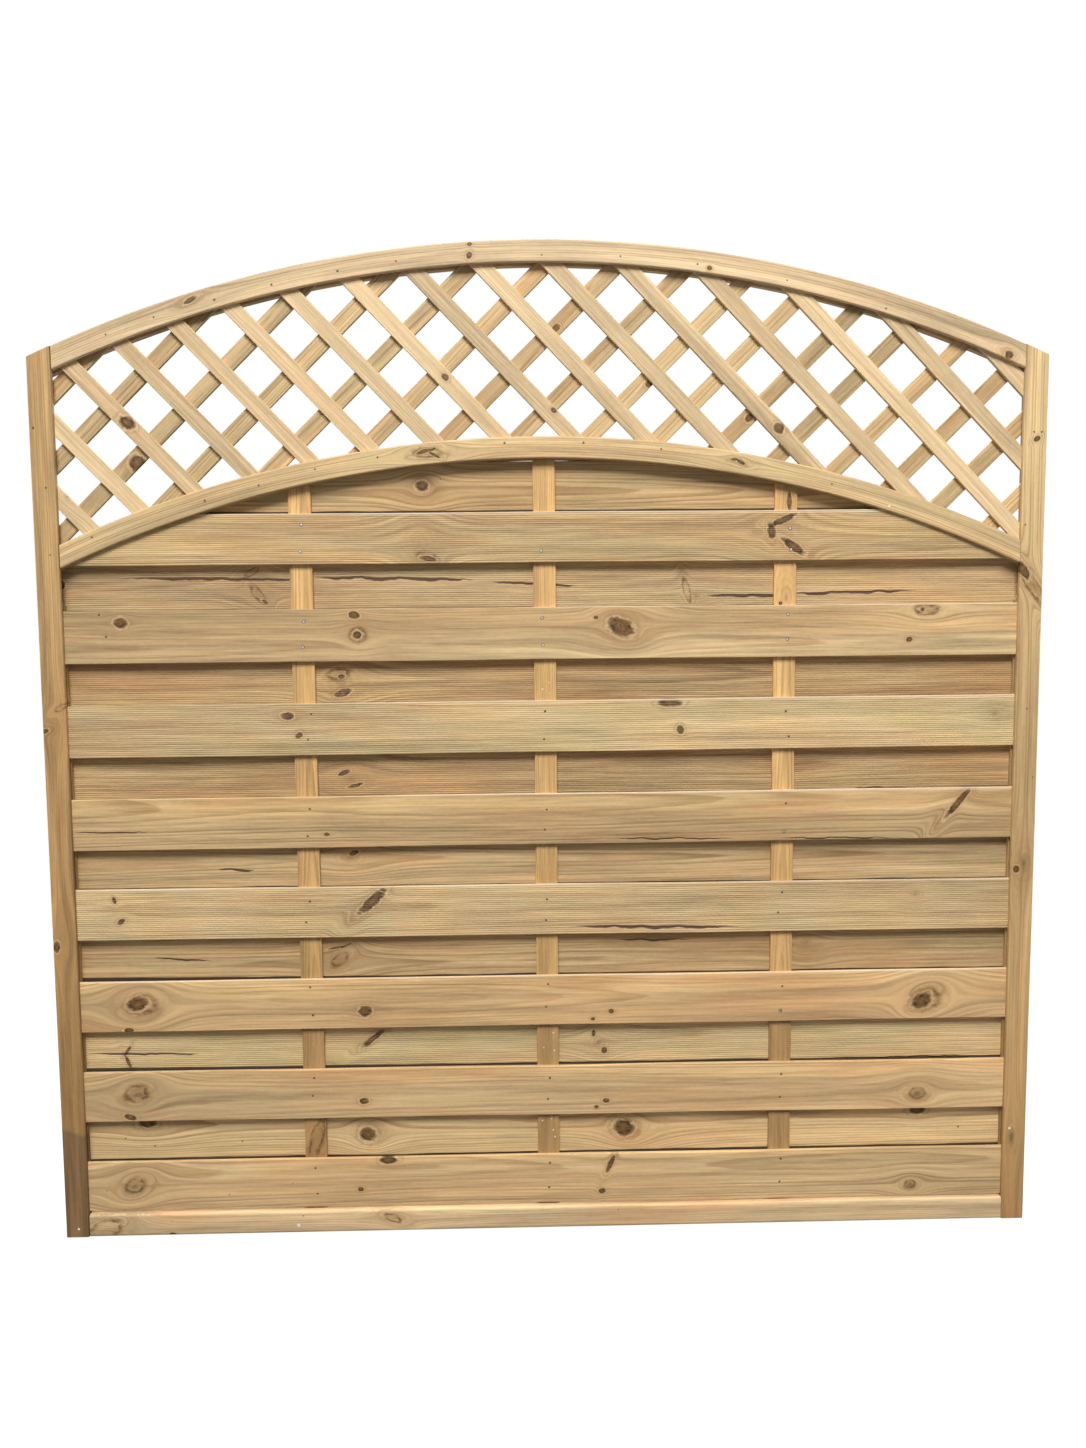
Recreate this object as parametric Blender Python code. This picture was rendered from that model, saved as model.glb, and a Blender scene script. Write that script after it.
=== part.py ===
"""Arched lattice topped fence panel with double slats, built in metres with +Z up.

The front of the panel faces -Y. The origin lies on the outer face of the left stile,
at mid height and mid depth, where the panel is fastened to a post.
"""
import math

import bmesh
import bpy

# Overall size of the panel
PANEL_WIDTH = 1.800
PANEL_HEIGHT = 1.800
FRAME_DEPTH = 0.042
MOUNT_HEIGHT = 0.800

# Clearances
FIT_GAP = 0.0003
LEFT_JOINT = 0.0018
RIGHT_JOINT = 0.0008
GROOVE_END_GAP = 0.0015

# Frame members
STILE_WIDTH = 0.042
FRONT_LIP = 0.0085
GROOVE_DEPTH = 0.012
TENON_LENGTH = 0.0115
FRAME_EASE = 0.0028
EASE_STEPS = 3
RAIL_HEIGHT = 0.038
BOTTOM_RAIL_HEIGHT = 0.042
BOTTOM_RAIL_EASE = 0.0045
RAIL_GROOVE_DEPTH = 0.010

# Arches, given by how far their outer edges rise from the outer faces of the stiles to the crown
TOP_ARCH_RISE = 0.1985
LOWER_ARCH_RISE = 0.2054
ARCH_SPACING = 0.3370
ARCH_STEPS = 56
ARCH_OVERRUN = math.radians(0.75)

# Slats and battens
SLAT_COUNT = 8
SLAT_HEIGHT = 0.094
SLAT_THICKNESS = 0.008
SLAT_EASE = 0.0012
SLAT_EASE_STEPS = 2
FIRST_SLAT_DROP = 0.129
LAST_SLAT_RAISE = 0.008
BATTEN_WIDTH = 0.040
BATTEN_INSET = 0.422

# Lattice, with its datum at the crown of the lower arch
LATH_WIDTH = 0.0290
LATH_THICKNESS = 0.008
LATH_PITCH = 0.090
LATH_FUSE = 0.0002
FRONT_LATH_OFFSET = 0.0402
BACK_LATH_OFFSET = 0.0563
LATTICE_REACH = 0.0080
LATTICE_IN_RAIL = 0.0080

# Rebate behind the lattice in each stile, ended by a round cutter below the lower arched rail
REBATE_BELOW_RAIL = 0.0655
CUTTER_RADIUS = 0.035
CUTTER_STEPS = 18

# Shading and finish
SMOOTH_ANGLE = 40.0
WOOD_ROUGHNESS = 0.75

# Derived values
HALF_WIDTH = PANEL_WIDTH / 2
INNER_HALF = HALF_WIDTH - STILE_WIDTH
FRONT_Y = -FRAME_DEPTH / 2
BACK_Y = FRAME_DEPTH / 2
LIP_Y = FRONT_Y + FRONT_LIP
GROOVE_WIDTH = SLAT_THICKNESS + 2 * FIT_GAP
RIB_HALF = -(LIP_Y + GROOVE_WIDTH)
LATTICE_GROOVE_BACK = LIP_Y + 2 * LATH_THICKNESS + 2 * FIT_GAP
TOP_ARCH_RADIUS = (HALF_WIDTH ** 2 + TOP_ARCH_RISE ** 2) / (2 * TOP_ARCH_RISE)
TOP_INNER_RADIUS = TOP_ARCH_RADIUS - RAIL_HEIGHT
TOP_CENTRE_Z = PANEL_HEIGHT - TOP_ARCH_RADIUS
LOWER_ARCH_CROWN = PANEL_HEIGHT - ARCH_SPACING
LOWER_ARCH_RADIUS = (HALF_WIDTH ** 2 + LOWER_ARCH_RISE ** 2) / (2 * LOWER_ARCH_RISE)
LOWER_INNER_RADIUS = LOWER_ARCH_RADIUS - RAIL_HEIGHT
LOWER_CENTRE_Z = LOWER_ARCH_CROWN - LOWER_ARCH_RADIUS
SLAT_SPAN_HALF = INNER_HALF + GROOVE_DEPTH - GROOVE_END_GAP
SLAT_CLIP_RADIUS = LOWER_INNER_RADIUS + RAIL_GROOVE_DEPTH - GROOVE_END_GAP
FIRST_SLAT_TOP = LOWER_ARCH_CROWN - FIRST_SLAT_DROP
LAST_SLAT_TOP = BOTTOM_RAIL_HEIGHT + LAST_SLAT_RAISE + SLAT_HEIGHT
SLAT_PITCH = (FIRST_SLAT_TOP - LAST_SLAT_TOP) / (SLAT_COUNT - 1)
BATTEN_SPACING = INNER_HALF - BATTEN_INSET
LATH_FRONT_Y = LIP_Y + FIT_GAP
LATH_MIDDLE_Y = LATH_FRONT_Y + LATH_THICKNESS
LATH_BACK_Y = LATH_MIDDLE_Y + LATH_THICKNESS
LATTICE_HALF = INNER_HALF + LATTICE_REACH
LATTICE_TOP_RADIUS = TOP_INNER_RADIUS + LATTICE_IN_RAIL
LATTICE_FOOT_RADIUS = LOWER_ARCH_RADIUS - LATTICE_IN_RAIL
DIAGONAL = math.sqrt(0.5)
BIG = 0.2

# Colours of the treated softwood
PINE_FACE = (0.58, 0.40, 0.21, 1.0)
PINE_LIGHT = (0.64, 0.46, 0.26, 1.0)
PINE_BACK = (0.42, 0.28, 0.14, 1.0)


def clear_scene():
    """Remove every object that the scene starts with."""
    for item in list(bpy.data.objects):
        bpy.data.objects.remove(item, do_unlink=True)


def make_material(name, colour, roughness):
    """Make one wood material for a sub-part."""
    material = bpy.data.materials.new(name)
    material.use_nodes = True
    shader = material.node_tree.nodes["Principled BSDF"]
    shader.inputs["Base Color"].default_value = colour
    shader.inputs["Roughness"].default_value = roughness
    shader.inputs["Metallic"].default_value = 0.0
    return material


def add_object(name, bm, colour=None, smooth=False):
    """Put a mesh in the scene, shifted from the panel's own frame to the mount's frame."""
    bmesh.ops.recalc_face_normals(bm, faces=bm.faces)
    mesh = bpy.data.meshes.new(name)
    bm.to_mesh(mesh)
    bm.free()
    item = bpy.data.objects.new(name, mesh)
    item.location = (HALF_WIDTH, 0.0, -MOUNT_HEIGHT)
    bpy.context.scene.collection.objects.link(item)
    if colour is not None:
        mesh.materials.append(make_material(name, colour, WOOD_ROUGHNESS))
    if smooth:
        mesh.shade_smooth()
        mesh.set_sharp_from_angle(angle=math.radians(SMOOTH_ANGLE))
    return item


def boolean(target, tool, operation):
    """Combine a piece with a hidden tool through an exact modifier."""
    tool.hide_render = True
    tool.display_type = "WIRE"
    modifier = target.modifiers.new(tool.name, "BOOLEAN")
    modifier.operation = operation
    modifier.solver = "EXACT"
    modifier.object = tool


def add_box(bm, x_range, y_range, z_range):
    """Add a plain box to a mesh."""
    verts = bmesh.ops.create_cube(bm, size=1.0)["verts"]
    ranges = (x_range, y_range, z_range)
    bmesh.ops.scale(bm, vec=[high - low for low, high in ranges], verts=verts)
    bmesh.ops.translate(bm, vec=[(low + high) / 2 for low, high in ranges], verts=verts)


def eased_bar(x_range, y_range, z_range, axis, ease, steps):
    """Make a bar whose long edges are rounded by a small radius."""
    bm = bmesh.new()
    add_box(bm, x_range, y_range, z_range)
    long_edges = []
    for edge in bm.edges:
        span = edge.verts[1].co - edge.verts[0].co
        if abs(span[axis]) > 0.5 * span.length:
            long_edges.append(edge)
    bmesh.ops.bevel(
        bm, geom=long_edges, offset=ease, offset_type="OFFSET", segments=steps,
        profile=0.5, affect="EDGES", clamp_overlap=True, material=-1,
    )
    return bm


def arc_points(radius, centre_x, centre_z, start, end, steps):
    """List points along an arc in the XZ plane, angles measured from +Z towards +X."""
    points = []
    for index in range(steps + 1):
        angle = start + (end - start) * index / steps
        x = centre_x + radius * math.sin(angle)
        z = centre_z + radius * math.cos(angle)
        points.append((x, z))
    return points


def arch_z(radius, centre_z, x):
    """Height of an arch above the underside at a distance from the panel's middle."""
    return centre_z + math.sqrt(radius ** 2 - x ** 2)


def half_angle(radius):
    """Angle from an arch's crown to just past the ends of its tenons."""
    return math.asin((INNER_HALF + GROOVE_DEPTH) / radius) + ARCH_OVERRUN


def arch_points(radius, centre_z):
    """List points along an arch of the panel, from left to right."""
    reach = half_angle(radius)
    return arc_points(radius, 0.0, centre_z, -reach, reach, ARCH_STEPS)


def prism(points, y_range):
    """Extrude a flat XZ outline along Y."""
    bm = bmesh.new()
    ring = [bm.verts.new((x, y_range[0], z)) for x, z in points]
    face = bm.faces.new(ring)
    result = bmesh.ops.extrude_face_region(bm, geom=[face])
    moved = [item for item in result["geom"] if isinstance(item, bmesh.types.BMVert)]
    bmesh.ops.translate(bm, verts=moved, vec=(0.0, y_range[1] - y_range[0], 0.0))
    return bm


def rounded_corner(corner, toward, ease, steps):
    """List the points of one rounded corner of a section, from one side to the other."""
    centre = (corner[0] + toward[0] * ease, corner[1] + toward[1] * ease)
    start = math.atan2(-toward[1], 0.0)
    end = math.atan2(0.0, -toward[0])
    turn = (end - start + math.pi) % (2 * math.pi) - math.pi
    points = []
    for index in range(steps + 1):
        angle = start + turn * index / steps
        points.append((centre[0] + ease * math.cos(angle), centre[1] + ease * math.sin(angle)))
    return points


def rail_section(inner, outer, inner_grooves, outer_grooves):
    """Build the section of an arched rail as (y, radius) points, with grooves in its edges."""
    inner_front = rounded_corner((FRONT_Y, inner), (1, 1), FRAME_EASE, EASE_STEPS)
    inner_back = rounded_corner((BACK_Y, inner), (-1, 1), FRAME_EASE, EASE_STEPS)
    outer_back = rounded_corner((BACK_Y, outer), (-1, -1), FRAME_EASE, EASE_STEPS)
    outer_front = rounded_corner((FRONT_Y, outer), (1, -1), FRAME_EASE, EASE_STEPS)
    points = list(reversed(inner_front))
    for low, high in inner_grooves:
        points += [(low, inner), (low, inner + RAIL_GROOVE_DEPTH)]
        points += [(high, inner + RAIL_GROOVE_DEPTH), (high, inner)]
    points += inner_back
    points += list(reversed(outer_back))
    for low, high in outer_grooves:
        points += [(high, outer), (high, outer - RAIL_GROOVE_DEPTH)]
        points += [(low, outer - RAIL_GROOVE_DEPTH), (low, outer)]
    points += outer_front
    return points


def sweep_arch(section, centre_z, reach):
    """Sweep a (y, radius) section along the arch."""
    bm = bmesh.new()
    rings = []
    for index in range(ARCH_STEPS + 1):
        angle = -reach + 2 * reach * index / ARCH_STEPS
        ring = []
        for y, radius in section:
            ring.append(bm.verts.new((radius * math.sin(angle), y, centre_z + radius * math.cos(angle))))
        rings.append(ring)
    count = len(section)
    for ring, following in zip(rings[:-1], rings[1:]):
        for index in range(count):
            after = (index + 1) % count
            bm.faces.new((ring[index], ring[after], following[after], following[index]))
    bm.faces.new(rings[0])
    bm.faces.new(rings[-1])
    return bm


def arch_rail(name, outer_radius, centre_z, inner_grooves, outer_grooves, colour):
    """Build an arched rail with shouldered ends that fit behind the stiles' front lips."""
    inner_radius = outer_radius - RAIL_HEIGHT
    reach = half_angle(inner_radius)
    section = rail_section(inner_radius, outer_radius, inner_grooves, outer_grooves)
    rail = add_object(name, sweep_arch(section, centre_z, reach), colour, True)
    tenon_end = INNER_HALF + TENON_LENGTH
    low = centre_z + inner_radius * math.cos(reach) - BIG
    high = centre_z + outer_radius + BIG
    shoulder_y = LIP_Y + FIT_GAP
    for side, joint in ((-1, LEFT_JOINT), (1, RIGHT_JOINT)):
        for part, start, back in (("end", tenon_end, BIG), ("shoulder", INNER_HALF - joint, shoulder_y)):
            bm = bmesh.new()
            x_range = sorted((side * start, side * (HALF_WIDTH + BIG)))
            add_box(bm, x_range, (FRONT_Y - BIG, back), (low, high))
            label = "left" if side < 0 else "right"
            boolean(rail, add_object(f"{name}_{label}_{part}_cutter", bm), "DIFFERENCE")
    return rail


def stile(name, side):
    """Build one stile with two slat grooves, a rebate behind the lattice and a sloping top."""
    outer_x = side * HALF_WIDTH
    inner_x = side * INNER_HALF
    x_range = sorted((outer_x, inner_x))
    bm = eased_bar(x_range, (FRONT_Y, BACK_Y), (0.0, PANEL_HEIGHT), 2, FRAME_EASE, EASE_STEPS)
    outer_z = arch_z(TOP_ARCH_RADIUS, TOP_CENTRE_Z, HALF_WIDTH)
    inner_z = arch_z(TOP_ARCH_RADIUS, TOP_CENTRE_Z, INNER_HALF)
    normal = (-(inner_z - outer_z), 0.0, inner_x - outer_x)
    if normal[2] < 0:
        normal = tuple(-value for value in normal)
    geometry = bm.verts[:] + bm.edges[:] + bm.faces[:]
    cut = bmesh.ops.bisect_plane(
        bm, geom=geometry, plane_co=(outer_x, 0.0, outer_z), plane_no=normal, clear_outer=True,
    )
    edges = [item for item in cut["geom_cut"] if isinstance(item, bmesh.types.BMEdge)]
    bmesh.ops.holes_fill(bm, edges=edges)
    post = add_object(name, bm, PINE_FACE, True)
    floor_x = side * (INNER_HALF + GROOVE_DEPTH)
    clear_x = side * (INNER_HALF - BIG)
    grooves = bmesh.new()
    for y_range in ((LIP_Y, -RIB_HALF), (RIB_HALF, -LIP_Y)):
        add_box(grooves, sorted((floor_x, clear_x)), y_range, (-BIG, PANEL_HEIGHT + BIG))
    boolean(post, add_object(f"{name}_groove_cutter", grooves), "DIFFERENCE")
    rise = math.sqrt(CUTTER_RADIUS ** 2 - (CUTTER_RADIUS - GROOVE_DEPTH) ** 2)
    centre_x = floor_x - side * CUTTER_RADIUS
    centre_z = arch_z(LOWER_INNER_RADIUS, LOWER_CENTRE_Z, INNER_HALF) - REBATE_BELOW_RAIL + rise
    quarter = math.pi / 2
    run_out = arc_points(CUTTER_RADIUS, centre_x, centre_z, side * quarter, side * 2 * quarter, CUTTER_STEPS)
    outline = [(floor_x, PANEL_HEIGHT + BIG)] + run_out
    outline += [(clear_x, run_out[-1][1]), (clear_x, PANEL_HEIGHT + BIG)]
    rebate = prism(outline, (LIP_Y, BACK_Y + BIG))
    boolean(post, add_object(f"{name}_rebate_cutter", rebate), "DIFFERENCE")
    return post


def bottom_rail():
    """Build the bottom rail between the stiles, tenoned into their grooves."""
    left_x = -INNER_HALF + LEFT_JOINT
    right_x = INNER_HALF - RIGHT_JOINT
    bm = eased_bar(
        (left_x, right_x), (FRONT_Y, BACK_Y), (0.0, BOTTOM_RAIL_HEIGHT), 0, BOTTOM_RAIL_EASE, EASE_STEPS,
    )
    rail = add_object("bottom_rail", bm, PINE_FACE, True)
    tenons = bmesh.new()
    for y_range in ((LIP_Y + FIT_GAP, -RIB_HALF - FIT_GAP), (RIB_HALF + FIT_GAP, -LIP_Y - FIT_GAP)):
        add_box(
            tenons, (-SLAT_SPAN_HALF, SLAT_SPAN_HALF), y_range,
            (BOTTOM_RAIL_EASE, BOTTOM_RAIL_HEIGHT - BOTTOM_RAIL_EASE),
        )
    boolean(rail, add_object("bottom_rail_tenons", tenons), "UNION")
    return rail


def disc_outline(radius, centre_z):
    """Outline of the space under an arch, down past the bottom of the panel."""
    points = arch_points(radius, centre_z)
    return points + [(points[-1][0], -BIG), (points[0][0], -BIG)]


def slats():
    """Build the two layers of horizontal slats, the back layer covering the gaps in the front."""
    clip = add_object(
        "slat_arch_cutter", prism(disc_outline(SLAT_CLIP_RADIUS, LOWER_CENTRE_Z), (-BIG, BIG)),
    )
    front_range = (LIP_Y + FIT_GAP, LIP_Y + FIT_GAP + SLAT_THICKNESS)
    back_range = (-front_range[1], -front_range[0])
    layers = (
        ("front_slat", front_range, FIRST_SLAT_TOP, PINE_FACE),
        ("back_slat", back_range, FIRST_SLAT_TOP + SLAT_PITCH / 2, PINE_BACK),
    )
    reach = arch_z(SLAT_CLIP_RADIUS, LOWER_CENTRE_Z, SLAT_SPAN_HALF)
    for label, y_range, first_top, colour in layers:
        for index in range(SLAT_COUNT):
            top = first_top - index * SLAT_PITCH
            x_range = (-SLAT_SPAN_HALF, SLAT_SPAN_HALF)
            z_range = (top - SLAT_HEIGHT, top)
            bm = eased_bar(x_range, y_range, z_range, 0, SLAT_EASE, SLAT_EASE_STEPS)
            board = add_object(f"{label}_{index + 1}", bm, colour, True)
            if top > reach:
                boolean(board, clip, "INTERSECT")


def battens():
    """Build the upright battens between the two layers of slats."""
    outline = disc_outline(LOWER_INNER_RADIUS - FIT_GAP, LOWER_CENTRE_Z)
    clip = add_object("batten_arch_cutter", prism(outline, (-BIG, BIG)))
    y_half = RIB_HALF
    for label, offset in (("left", -1), ("centre", 0), ("right", 1)):
        middle = offset * BATTEN_SPACING
        bm = bmesh.new()
        add_box(
            bm, (middle - BATTEN_WIDTH / 2, middle + BATTEN_WIDTH / 2), (-y_half, y_half),
            (BOTTOM_RAIL_HEIGHT + FIT_GAP, LOWER_ARCH_CROWN),
        )
        batten = add_object(f"batten_{label}", bm, PINE_LIGHT)
        boolean(batten, clip, "INTERSECT")


def lath_offsets(low, high, datum):
    """List the centre lines of the laths that pass between two corners of the lattice."""
    first = math.ceil((low + LATH_WIDTH / 2 - datum) / LATH_PITCH)
    last = math.floor((high - LATH_WIDTH / 2 - datum) / LATH_PITCH)
    return [datum + index * LATH_PITCH for index in range(first, last + 1)]


def lath_set(offsets, slope, y_range):
    """Build parallel laths at 45 degrees; slope is -1 for laths that fall to the right."""
    bm = bmesh.new()
    reach = PANEL_WIDTH + PANEL_HEIGHT
    half = LATH_WIDTH / 2
    for offset in offsets:
        corners = []
        for along, across in ((-reach, -half), (reach, -half), (reach, half), (-reach, half)):
            shift = offset + across
            corners.append((DIAGONAL * (along + shift), slope * DIAGONAL * (along - shift)))
        single = prism(corners, y_range)
        mesh = bpy.data.meshes.new("lath")
        single.to_mesh(mesh)
        single.free()
        bm.from_mesh(mesh)
        bpy.data.meshes.remove(mesh)
    return bm


def lattice():
    """Build the lattice: laths falling to the right in front, laths rising to the right behind."""
    top_z = arch_z(LATTICE_TOP_RADIUS, TOP_CENTRE_Z, LATTICE_HALF)
    foot_z = arch_z(LATTICE_FOOT_RADIUS, LOWER_CENTRE_Z, LATTICE_HALF)
    front_datum = DIAGONAL * LOWER_ARCH_CROWN + FRONT_LATH_OFFSET
    front_corners = (DIAGONAL * (foot_z - LATTICE_HALF), DIAGONAL * (top_z + LATTICE_HALF))
    back_datum = -DIAGONAL * LOWER_ARCH_CROWN + BACK_LATH_OFFSET
    back_corners = (-DIAGONAL * (top_z + LATTICE_HALF), DIAGONAL * (LATTICE_HALF - foot_z))
    front_offsets = lath_offsets(*front_corners, front_datum)
    back_offsets = lath_offsets(*back_corners, back_datum)
    front = lath_set(front_offsets, -1, (LATH_FRONT_Y, LATH_MIDDLE_Y + LATH_FUSE))
    back = lath_set(back_offsets, 1, (LATH_MIDDLE_Y - LATH_FUSE, LATH_BACK_Y))
    grid = add_object("lattice", front, PINE_LIGHT)
    boolean(grid, add_object("back_laths", back), "UNION")
    upper = arch_points(LATTICE_TOP_RADIUS, TOP_CENTRE_Z)
    lower = arch_points(LATTICE_FOOT_RADIUS, LOWER_CENTRE_Z)
    outline = upper + list(reversed(lower))
    boolean(grid, add_object("lattice_arch_cutter", prism(outline, (-BIG, BIG))), "INTERSECT")
    bm = bmesh.new()
    add_box(bm, (-LATTICE_HALF, LATTICE_HALF), (-BIG, BIG), (0.0, PANEL_HEIGHT + BIG))
    boolean(grid, add_object("lattice_side_cutter", bm), "INTERSECT")


def main():
    clear_scene()
    stile("left_stile", -1)
    stile("right_stile", 1)
    lattice_groove = ((LIP_Y, LATTICE_GROOVE_BACK),)
    slat_grooves = ((LIP_Y, -RIB_HALF), (RIB_HALF, -LIP_Y))
    arch_rail("top_arch_rail", TOP_ARCH_RADIUS, TOP_CENTRE_Z, lattice_groove, (), PINE_FACE)
    arch_rail("lower_arch_rail", LOWER_ARCH_RADIUS, LOWER_CENTRE_Z, slat_grooves, lattice_groove, PINE_FACE)
    bottom_rail()
    slats()
    battens()
    lattice()


main()
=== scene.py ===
"""Dress the arched lattice fence panel in treated pine and set it on a plain pale stage."""
import functools
import itertools
import math
import random

import bmesh
import bpy
from bpy.props import FloatProperty, FloatVectorProperty, IntProperty, PointerProperty
from mathutils import Matrix, Vector


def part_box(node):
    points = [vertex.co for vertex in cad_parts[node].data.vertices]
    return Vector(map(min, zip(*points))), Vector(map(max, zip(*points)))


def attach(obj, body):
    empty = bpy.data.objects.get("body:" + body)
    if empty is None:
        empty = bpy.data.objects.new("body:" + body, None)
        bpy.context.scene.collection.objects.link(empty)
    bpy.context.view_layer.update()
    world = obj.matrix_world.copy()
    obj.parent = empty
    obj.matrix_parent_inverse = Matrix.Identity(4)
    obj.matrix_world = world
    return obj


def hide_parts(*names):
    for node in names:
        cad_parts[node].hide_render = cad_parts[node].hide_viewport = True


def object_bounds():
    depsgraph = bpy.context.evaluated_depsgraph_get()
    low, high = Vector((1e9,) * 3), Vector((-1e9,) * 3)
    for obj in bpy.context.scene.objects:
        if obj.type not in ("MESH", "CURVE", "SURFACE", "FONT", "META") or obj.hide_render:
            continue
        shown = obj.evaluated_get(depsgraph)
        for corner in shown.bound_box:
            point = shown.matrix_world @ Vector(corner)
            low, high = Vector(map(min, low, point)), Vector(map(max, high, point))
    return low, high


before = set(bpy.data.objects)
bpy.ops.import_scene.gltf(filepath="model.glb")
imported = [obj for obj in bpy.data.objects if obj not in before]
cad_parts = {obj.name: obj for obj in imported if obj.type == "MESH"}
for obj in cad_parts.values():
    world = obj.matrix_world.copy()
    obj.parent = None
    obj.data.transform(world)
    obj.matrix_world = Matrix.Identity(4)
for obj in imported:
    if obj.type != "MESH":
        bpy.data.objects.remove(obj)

bl_info = {
    "name": "Arched lattice fence panel",
    "version": (1, 0, 0),
    "blender": (4, 5, 0),
    "location": "3D View > Sidebar > Fence",
    "description": "Dresses an arched lattice fence panel in treated pine and sets a plain stage",
    "category": "Object",
}

CAD_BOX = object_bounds()
LOW, HIGH = CAD_BOX
MIDDLE_X = (LOW.x + HIGH.x) / 2
FLOOR_Z = LOW.z


def seen(node):
    """Lowest and highest corner of a piece of the frame."""
    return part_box(node)


SLAT_LOW, SLAT_HIGH = seen("front_slat_2")
BACK_SLAT_LOW, BACK_SLAT_HIGH = seen("back_slat_2")
SLAT_HEIGHT = SLAT_HIGH.z - SLAT_LOW.z
SLAT_PITCH = SLAT_HIGH.z - seen("front_slat_3")[1].z
FRONT_SLAT_MID = SLAT_LOW.z + SLAT_HEIGHT / 2 + SLAT_PITCH
BACK_SLAT_MID = BACK_SLAT_LOW.z + SLAT_HEIGHT / 2 + SLAT_PITCH
STILE_INNER = seen("left_stile")[1].x
OPENING = 2.0 * (MIDDLE_X - STILE_INNER)
BATTEN_LINES = [sum(corner.x for corner in seen(f"batten_{side}")) / 2 for side in ("left", "centre", "right")]

# Relief of planed wood: the depth of its furrows, of its grit and of its cracks
FURROW_DEPTH = 0.00030
GRIT_DEPTH = 0.00006
CRACK_DEPTH = 0.0012
# How far from a knot the grain bends, in the knot's own half lengths and half heights, and how much
KNOT_REACH = (2.4, 2.1)
KNOT_PULL = 0.80
# How deep the first slats sit in the arched rail's groove, and how much higher the first back slat lies
FIRST_SLAT_SEAT = 0.0082
FIRST_BACK_SLAT_LIFT = 0.0016
# How strong the painted highlight along the upper edges of the front slats is
FRONT_EDGE_HIGHLIGHT = 0.75
# Depths below a face between which the painted shade in its grooves ends
FACE_DEPTHS = (0.0012, 0.0030)
# Nails: the depth of a head, the bruises round the two kinds, and where the ones behind lie
NAIL_DEPTH = 0.0020
BRIGHT_BRUISE = 0.0036
BRAD_BRUISE = 0.0023
BACK_NAIL_RISE = 0.024
BACK_NAIL_STRAY = (0.006, 0.005)
# Laths: half the length before trimming, the steps of the search for the middle, and how far past the
# stiles an arch may still cut one
LATH_HALF = 1.2
STEPS_EACH_WAY = 1200
STEPS_PER_METRE = 500.0
LATH_MARGIN = 0.05


def length(name, description, default):
    """A setting in metres."""
    return FloatProperty(name=name, description=description, default=default, unit="LENGTH")


def angle(name, description, degrees):
    """A setting that is an angle."""
    return FloatProperty(name=name, description=description, default=math.radians(degrees), unit="ROTATION")


def power(name, description, default):
    """A lamp's setting in watts."""
    return FloatProperty(name=name, description=description, default=default, unit="POWER")


def tint(name, description, default):
    """A colour's setting."""
    return FloatVectorProperty(
        name=name, description=description, default=default, subtype="COLOR", min=0, max=1)


class PineSettings(bpy.types.PropertyGroup):
    early: tint("Early wood", "Pale wood between the grain lines", (0.66, 0.475, 0.245))
    late: tint("Late wood", "Darker grain lines", (0.36, 0.204, 0.080))
    green: tint("Treatment", "Green left by the preservative", (0.47, 0.380, 0.180))
    # Pale wood is also laid along the front slats' upper edges as a painted highlight
    pale: tint("Pale wood", "Wood that the weather has bleached", (0.76, 0.60, 0.41))
    warm: tint("Heartwood", "Redder wood near the heart", (0.57, 0.330, 0.145))
    gold: tint("Sawn wood", "Golden wood of the sawn battens", (0.76, 0.455, 0.170))
    # Laid on stiles and battens darker towards the bottom: partly their own browning, partly painted shade
    low_brown_and_shade: tint("Aged wood", "Wood that has browned low down", (0.34, 0.185, 0.066))
    dull: tint("Dull wood", "Wood below the heart's line on a board", (0.47, 0.328, 0.19))
    stain: tint("Stain", "Damp stain at the foot of a stile", (0.21, 0.122, 0.056))
    # Painted shade: a near-black strip on a back slat, where the front slat laps it and the gap lies in shade
    lap_shade: tint("Damp", "Dark wet wood where one slat laps another", (0.022, 0.014, 0.009))
    knot: tint("Knot", "Wood inside a knot", (0.110, 0.055, 0.016))
    bark: tint("Knot rim", "Dark bark round a knot", (0.045, 0.021, 0.006))
    halo: tint("Knot halo", "Resin-rich wood round a knot", (0.39, 0.208, 0.074))
    resin: tint("Resin", "Pale ring of wood that bends round a knot", (0.72, 0.55, 0.31))
    fleck: tint("Resin fleck", "Dried white drop of resin", (0.80, 0.76, 0.70))
    haze: tint("Haze", "Grey heart of a knot that lies just under the face", (0.14, 0.105, 0.055))
    crack: tint("Crack", "Inside of a crack", (0.075, 0.034, 0.019))
    ring_width: length("Ring width", "Distance between grain rings", 0.0042)
    roughness: FloatProperty(
        name="Roughness", description="Roughness of the planed wood", default=0.62, subtype="FACTOR")


class SlatSettings(bpy.types.PropertyGroup):
    reed_pitch: length("Reed pitch", "Distance between the grooves of a reeded face", 0.00376)
    reed_count: IntProperty(name="Grooves", description="Grooves across a reeded face", default=24)
    reed_width: length("Groove width", "Width of one groove", 0.0026)
    reed_depth: length("Groove depth", "Depth of one groove", 0.00045)
    edge: length("Edge", "Rounding of the long edges", 0.0014)
    bow: length("Bow", "How far a slat bows between two battens", 0.0016)
    wander: length("Wander", "How far a slat's edge wanders up and down", 0.0004)
    stations: IntProperty(name="Stations", description="Cross cuts that let a slat bend", default=24)


class LatticeSettings(bpy.types.PropertyGroup):
    width: length("Lath width", "Width of a lath", 0.029)
    edge: length("Edge", "Rounding of the lath's long edges", 0.0011)
    front_tilt: angle("Front tilt", "How much steeper than 45 degrees the front laths lie", 1.1)
    back_tilt: angle("Back tilt", "How much flatter than 45 degrees the back laths lie", 0.6)
    seat: length("Seat", "How deep a lath sits in a rail's groove", 0.0075)
    top_radius: length("Top rail radius", "Outer radius of the top rail", 2.1396)
    top_centre: length("Top rail centre", "Height of the top rail's centre", -1.1396)
    low_radius: length("Lower rail radius", "Outer radius of the lower rail", 2.0745)
    low_centre: length("Lower rail centre", "Height of the lower rail's centre", -1.4115)
    rail_height: length("Rail height", "Height of an arched rail's section", 0.038)


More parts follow.
